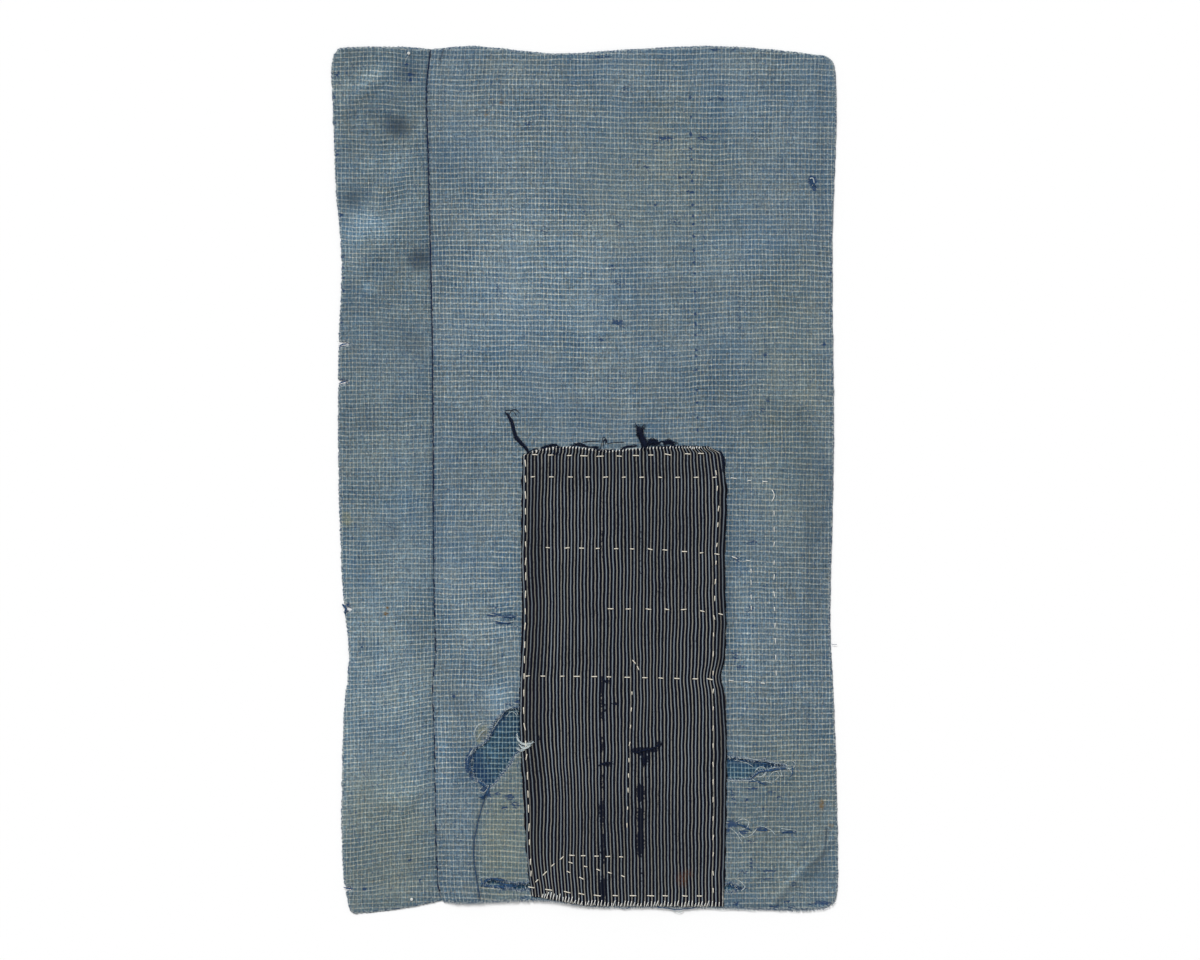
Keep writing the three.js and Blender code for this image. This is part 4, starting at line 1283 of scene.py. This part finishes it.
TAIL = [(-45, 21), (-46.9, 24.1), (-51, 29), (-56.9, 34.9), (-58.5, 40.7), (-60.2, 48.1)]
TAIL += [(-63.5, 54), (-66, 57.3)]
LOOP = [(13, 26), (14.9, 32), (14.4, 35.4), (16.8, 35.9), (19.2, 33), (17.8, 30), (23.7, 31), (32.6, 31.5)]
PATCH_FRAY = [
    (TAIL, 80, 1.7, 0.15),
    (TAIL[1:5], 60, 2.2, 0.15),
    ([(-62, 52), (-62.5, 55), (-59.5, 59), (-56, 58.6), (-54.2, 55.5)], 4, 0.3, 0.1),
    ([(-66, 57.5), (-62, 58), (-58.5, 57), (-56.5, 53.5)], 3, 0.3, 0.1),
    ([(-1, 25.5), (-2.9, 31), (2.9, 32), (12.9, 32.4)], 4, 0.3, 0.1),
    ([(-2.1, 30), (2.1, 27.6), (8.7, 27), (12.9, 27.6)], 12, 0.8, 0.25),
    (LOOP, 4, 0.3, 0.1),
    ([(16, 27), (15, 31), (17, 34.5), (18.5, 31), (16.5, 29)], 8, 0.6, 0.2),
    ([(50.5, 25.5), (49.5, 31), (46.8, 37), (44.8, 43.5)], 90, 3.6, 0.4),
    ([(48, 26), (47.5, 33), (46, 38), (46.5, 44.5)], 50, 3.2, 0.5),
    ([(47, 36), (44.6, 43), (42, 48)], 14, 2.4, 0.6),
    ([(47, 38), (48, 44), (50.5, 47.5)], 8, 1.6, 0.6),
    ([(47, 28), (52, 30), (58, 30), (64, 30.5)], 16, 1.2, 0.6),
    ([(51, 27), (55, 33.5), (60, 32), (62, 28)], 34, 2.4, 0.9),
    ([(66, 27.5), (68, 32.5), (73, 31.5), (75, 27.5)], 26, 2.0, 0.9),
    ([(56, 28), (64, 32.5), (70, 30), (80, 31.5)], 8, 0.8, 0.3),
    ([(112, 25), (115, 19), (116, 13), (115, 6)], 34, 1.6, 0.4),
    ([(-40, 23.5), (-32, 28), (-25, 29), (-17, 26)], 14, 1.3, 0.9),
    ([(-13, 28.5), (-5, 30), (3, 26.5)], 12, 1.4, 1.0),
    ([(6, 26), (16, 24.8), (27, 25.5)], 9, 0.9, 0.6),
    ([(29, 25), (37, 28), (45, 28.5)], 12, 1.1, 0.8),
    ([(56, 27.5), (72, 28.2), (90, 28), (104, 27.8)], 12, 0.5, 0.2),
    ([(-48, 22), (-44, 25), (-38, 26.5)], 8, 0.6, 0.2),
    ([(37, -225), (44, -226), (50, -223.5), (58, -222), (63, -219), (66, -215.8)], 22, 0.9, 0.3),
    ([(46, -226), (48.6, -230), (50, -236), (47, -240)], 12, 0.8, 0.3),
    ([(10, -237), (17, -235), (24, -233)], 8, 0.6, 0.3),
    ([(14, -164), (18, -167), (22, -169.5)], 6, 0.5, 0.3),
    ([(22.5, -185), (28.5, -186.5)], 4, 0.4, 0.2),
]
navy_thread = thread_finish("navy_cotton_thread", srgb(6, 12, 30), srgb(18, 30, 56))
fray_paths = laid(locks(PATCH_FRAY, 73))
patch_fray = thread_piece("patch_fray", fray_paths, FIBRE, 3, navy_thread)


# The check has frayed round its holes and tears. Its warp and weft ends hang in, the
# pale ones curled and the blue ones short, and a few lie in loops on the cloth.
BLUE_FIBRE = 0.21
PALE_SPACING = 1.3
BLUE_SPACING = 0.5
RAW_SPACING = 0.45
SAG = 0.25
PALE_FRAY = [
    ([(-56, -210), (-55.2, -216), (-50, -219.5), (-44, -218), (-42, -216.4)], 34, 1.3, 0.15),
    ([(-55, -219), (-52, -222), (-47, -222), (-43.5, -218)], 30, 1.4, 0.25),
    ([(-57, -222), (-52, -224.5), (-48, -221.5)], 16, 1.2, 0.3),
    (
        [(-66.8, -193), (-65, -190.5), (-62.8, -188.9), (-59, -188.6), (-56.9, -189.9), (-55, -195)],
        3, 0.3, 0.1,
    ),
    ([(-64.8, -196.5), (-62.5, -193), (-60, -191.7), (-57.5, -193), (-56, -196.5)], 3, 0.3, 0.1),
    ([(-91, -215), (-91.5, -209), (-89, -203.5), (-85, -201.5), (-79, -203)], 6, 0.5, 0.3),
    ([(-89, -216), (-87, -211), (-83, -207), (-79, -205)], 5, 0.7, 0.35),
    ([(-80, -216), (-78, -210), (-74, -204), (-70, -197), (-66, -192)], 16, 1.1, 0.3),
    ([(-92, -222), (-95, -228), (-96, -236), (-93, -243)], 8, 0.9, 0.3),
    ([(-79.3, -253), (-80.8, -257), (-82.6, -263)], 4, 0.4, 0.1),
    ([(-87, -257), (-84, -253), (-80, -255), (-83, -260), (-87.5, -258)], 2, 0.3, 0.1),
    ([(-93, -240), (-97, -236), (-97, -230), (-94, -226)], 3, 0.4, 0.2),
    (
        [(118.3, -229.5), (127, -231), (135, -230.5), (145, -232.5), (155, -234), (164, -235.8)],
        5, 0.35, 0.15,
    ),
    ([(124, -232.4), (129, -233.2), (135.7, -235), (140, -238)], 2, 0.2, 0.1),
    ([(118.3, -249), (128, -249.5), (138, -249.4)], 4, 0.35, 0.1),
    ([(166, -234.5), (172, -232.5), (175.5, -235), (174, -238.5), (168, -239.5)], 3, 0.35, 0.1),
    ([(167, -236), (170, -240), (172.5, -243), (171, -247)], 2, 0.3, 0.1),
    ([(141, -243), (144, -238), (149, -237.5), (151, -242), (147, -247), (142.5, -246)], 3, 0.5, 0.15),
    ([(148, -247), (152, -240), (158, -238), (163, -240), (164, -246)], 4, 0.5, 0.15),
    ([(152, -249), (155, -243), (160, -241), (162.5, -245), (158, -249)], 3, 0.5, 0.15),
    ([(138, -247), (143, -251), (150, -250), (156, -251.5)], 3, 0.4, 0.15),
    ([(125, -284), (131, -280.5), (137, -283), (135, -289), (129, -290)], 3, 0.5, 0.15),
    ([(128, -292), (133, -297), (139, -294), (143, -289)], 3, 0.5, 0.15),
    ([(122, -289), (127, -294), (131, -300)], 3, 0.5, 0.15),
    ([(144, -287), (150, -287.5), (155, -290), (158, -294)], 3, 0.35, 0.15),
    ([(163, -289), (170, -290), (176, -290.5)], 3, 0.35, 0.15),
    ([(125, -331), (130, -333), (134, -338), (130, -341)], 3, 0.4, 0.15),
    ([(186.5, 250), (189.5, 251.5), (191, 247), (188.5, 243.5)], 9, 0.7, 0.2),
    ([(189.5, 239), (189.8, 225), (189.6, 212)], 3, 0.3, 0.1),
    ([(-147.5, 353), (-146, 355.5), (-145, 353.5)], 6, 0.5, 0.2),
    ([(-146, 352), (-148, 349.5), (-148.5, 347.5)], 2, 0.2, 0.1),
    ([(-80, -110.5), (-70, -113.5), (-60, -113)], 3, 0.4, 0.2),
    ([(-76, -116), (-66, -118), (-56, -117)], 3, 0.4, 0.2),
    ([(-88, -331), (-84, -329), (-78, -330)], 3, 0.4, 0.15),
    ([(71.8, -352.8), (74, -357.5), (79, -359), (82.6, -356.5), (79, -354)], 2, 0.3, 0.1),
    ([(96.7, -354), (112, -356.5), (126, -356), (141.5, -357)], 2, 0.3, 0.2),
    ([(-205.5, 115), (-201, 113.6), (-196, 112.6)], 1, 0.3, 0.1),
    ([(-200.5, -105), (-197, -106), (-193.5, -107)], 2, 0.4, 0.1),
    ([(-199.5, -338), (-197, -339), (-194.4, -339.6)], 2, 0.4, 0.1),
]
BLUE_FRAY = [
    ([(-80, -216), (-76, -208), (-70, -199), (-64, -191)], 10, 1.3, 0.35),
    ([(-94, -227), (-96, -236), (-93, -244)], 18, 2.4, 0.7),
    ([(-91, -246), (-85, -252), (-80, -256)], 22, 1.1, 0.3),
    ([(-79, -255), (-81, -260), (-84, -264), (-88, -263)], 22, 1.1, 0.3),
    ([(-60, -189), (-56, -188), (-53, -191)], 8, 0.6, 0.2),
    ([(117, -231.5), (132, -233), (150, -235.5), (168, -238)], 7, 0.6, 0.2),
    ([(138, -248), (145, -241.5), (156, -240.5), (168, -239)], 16, 1.0, 0.3),
    ([(136, -250), (144, -250), (152, -253)], 8, 0.8, 0.3),
    ([(172, -236), (173, -243), (170, -247)], 8, 0.6, 0.25),
    ([(-84, -334), (-80, -331.5), (-74, -331), (-68, -332.5), (-63, -335)], 26, 1.4, 0.4),
    ([(-84, -337), (-78, -336.5), (-70, -337.5), (-62, -338), (-54, -337)], 26, 1.2, 0.35),
    ([(-72, -334), (-64, -336), (-56, -335), (-48, -334.5)], 24, 1.2, 0.35),
    ([(-86, -330), (-84.5, -335), (-86, -339)], 6, 0.5, 0.15),
    ([(126, -285), (133, -287), (139, -291)], 10, 1.0, 0.35),
    ([(142, -290), (150, -291), (154, -290)], 8, 0.6, 0.25),
    ([(163, -292), (176, -292)], 8, 0.6, 0.25),
    ([(117, -335), (124, -337), (131, -339)], 14, 1.3, 0.35),
    ([(186, 250), (190, 247), (192, 243)], 10, 1.3, 0.35),
    ([(-78, -112), (-66, -113), (-56, -114)], 8, 0.7, 0.25),
    ([(-72, -118), (-60, -119)], 6, 0.6, 0.25),
    ([(60, -354), (76, -356.5), (92, -355)], 3, 0.4, 0.3),
    ([(28, -354), (33, -356.5), (38, -354)], 2, 0.3, 0.2),
    (
        [(-80.9, -258), (-86.5, -276), (-91.5, -299), (-92, -312), (-90.7, -324), (-87, -346)],
        3, 0.25, 0.05,
    ),
    ([(-204, 111.4), (-200, 112.6), (-196, 113.5)], 12, 0.7, 0.2),
    ([(-204, 80), (-200, 81.4), (-196.5, 82.4)], 12, 0.7, 0.2),
    ([(-201, -103), (-197, -106.6), (-199, -111)], 20, 1.2, 0.25),
    ([(-200, -337.6), (-196, -339.4), (-191, -339)], 12, 0.6, 0.2),
    ([(205, -136), (207.5, -137), (209.5, -136.2)], 1, 0.2, 0.1),
]
pale_thread = thread_finish("frayed_pale_thread", srgb(150, 170, 184), srgb(214, 218, 210))
blue_thread = thread_finish("frayed_blue_thread", srgb(20, 44, 82), srgb(68, 104, 140))
pale_paths = laid(locks(PALE_FRAY, 74))
blue_paths = laid(locks(BLUE_FRAY, 75))


def frayed_edge(ring, ways, reach, fall, seed):
    """Short ends of thread from places on an edge, each along the warp or the weft.

    reach is how long they are, and fall how fast they sink from the face."""
    dice = np.random.default_rng(seed)
    open_edge = ~inside(ring, [patch_loop]) & (dice.uniform(size=len(ring)) > 0.25)
    levels = main_face(*ring.T)
    paths = []
    for place, into, level in zip(ring[open_edge], ways[open_edge], levels[open_edge]):
        weftwise = abs(into[0]) > abs(into[1]) * dice.uniform(0.5, 1.6)
        heading = np.array([np.sign(into[0]), 0.0]) if weftwise else np.array([0.0, np.sign(into[1])])
        heading += dice.normal(0, 0.25, 2)
        run = np.linspace(-0.6, reach * dice.uniform(0.3, 1), 6)
        bend = dice.normal(0, 0.12) * np.maximum(run, 0) ** 2
        x = place[0] + heading[0] * run + heading[1] * bend
        y = place[1] + heading[1] * run - heading[0] * bend
        paths.append(np.column_stack([x, y, level + 0.15 - fall * np.maximum(run, 0)]))
    return paths


for number, loop in enumerate(hole_edges):
    pale_ring, blue_ring = resample(loop, PALE_SPACING), resample(loop, BLUE_SPACING)
    pale_paths += frayed_edge(pale_ring, -outward(pale_ring), 3.2, SAG, 76 + number)
    pale_paths += frayed_edge(pale_ring, outward(pale_ring), 2.2, 0, 86 + number)
    blue_paths += frayed_edge(blue_ring, -outward(blue_ring), 4.2, SAG, 80 + number)
    blue_paths += frayed_edge(blue_ring[::3], outward(blue_ring)[::3], 1.1, 0, 90 + number)
raw_edge = resample(main_edge, RAW_SPACING)
raw_ways = outward(raw_edge)
is_raw = (raw_edge[:, 1] < -345) & (raw_ways[:, 1] < -0.5)
raw_edge, raw_ways = raw_edge[is_raw], raw_ways[is_raw]
pale_paths += frayed_edge(raw_edge[::2], raw_ways[::2], 1.5, SAG, 84)
blue_paths += frayed_edge(raw_edge[1::2], raw_ways[1::2], 1.3, SAG, 85)
pale_fray = thread_piece("pale_fray", pale_paths, FIBRE, 3, pale_thread)
blue_fray = thread_piece("blue_fray", blue_paths, BLUE_FIBRE, 3, blue_thread)
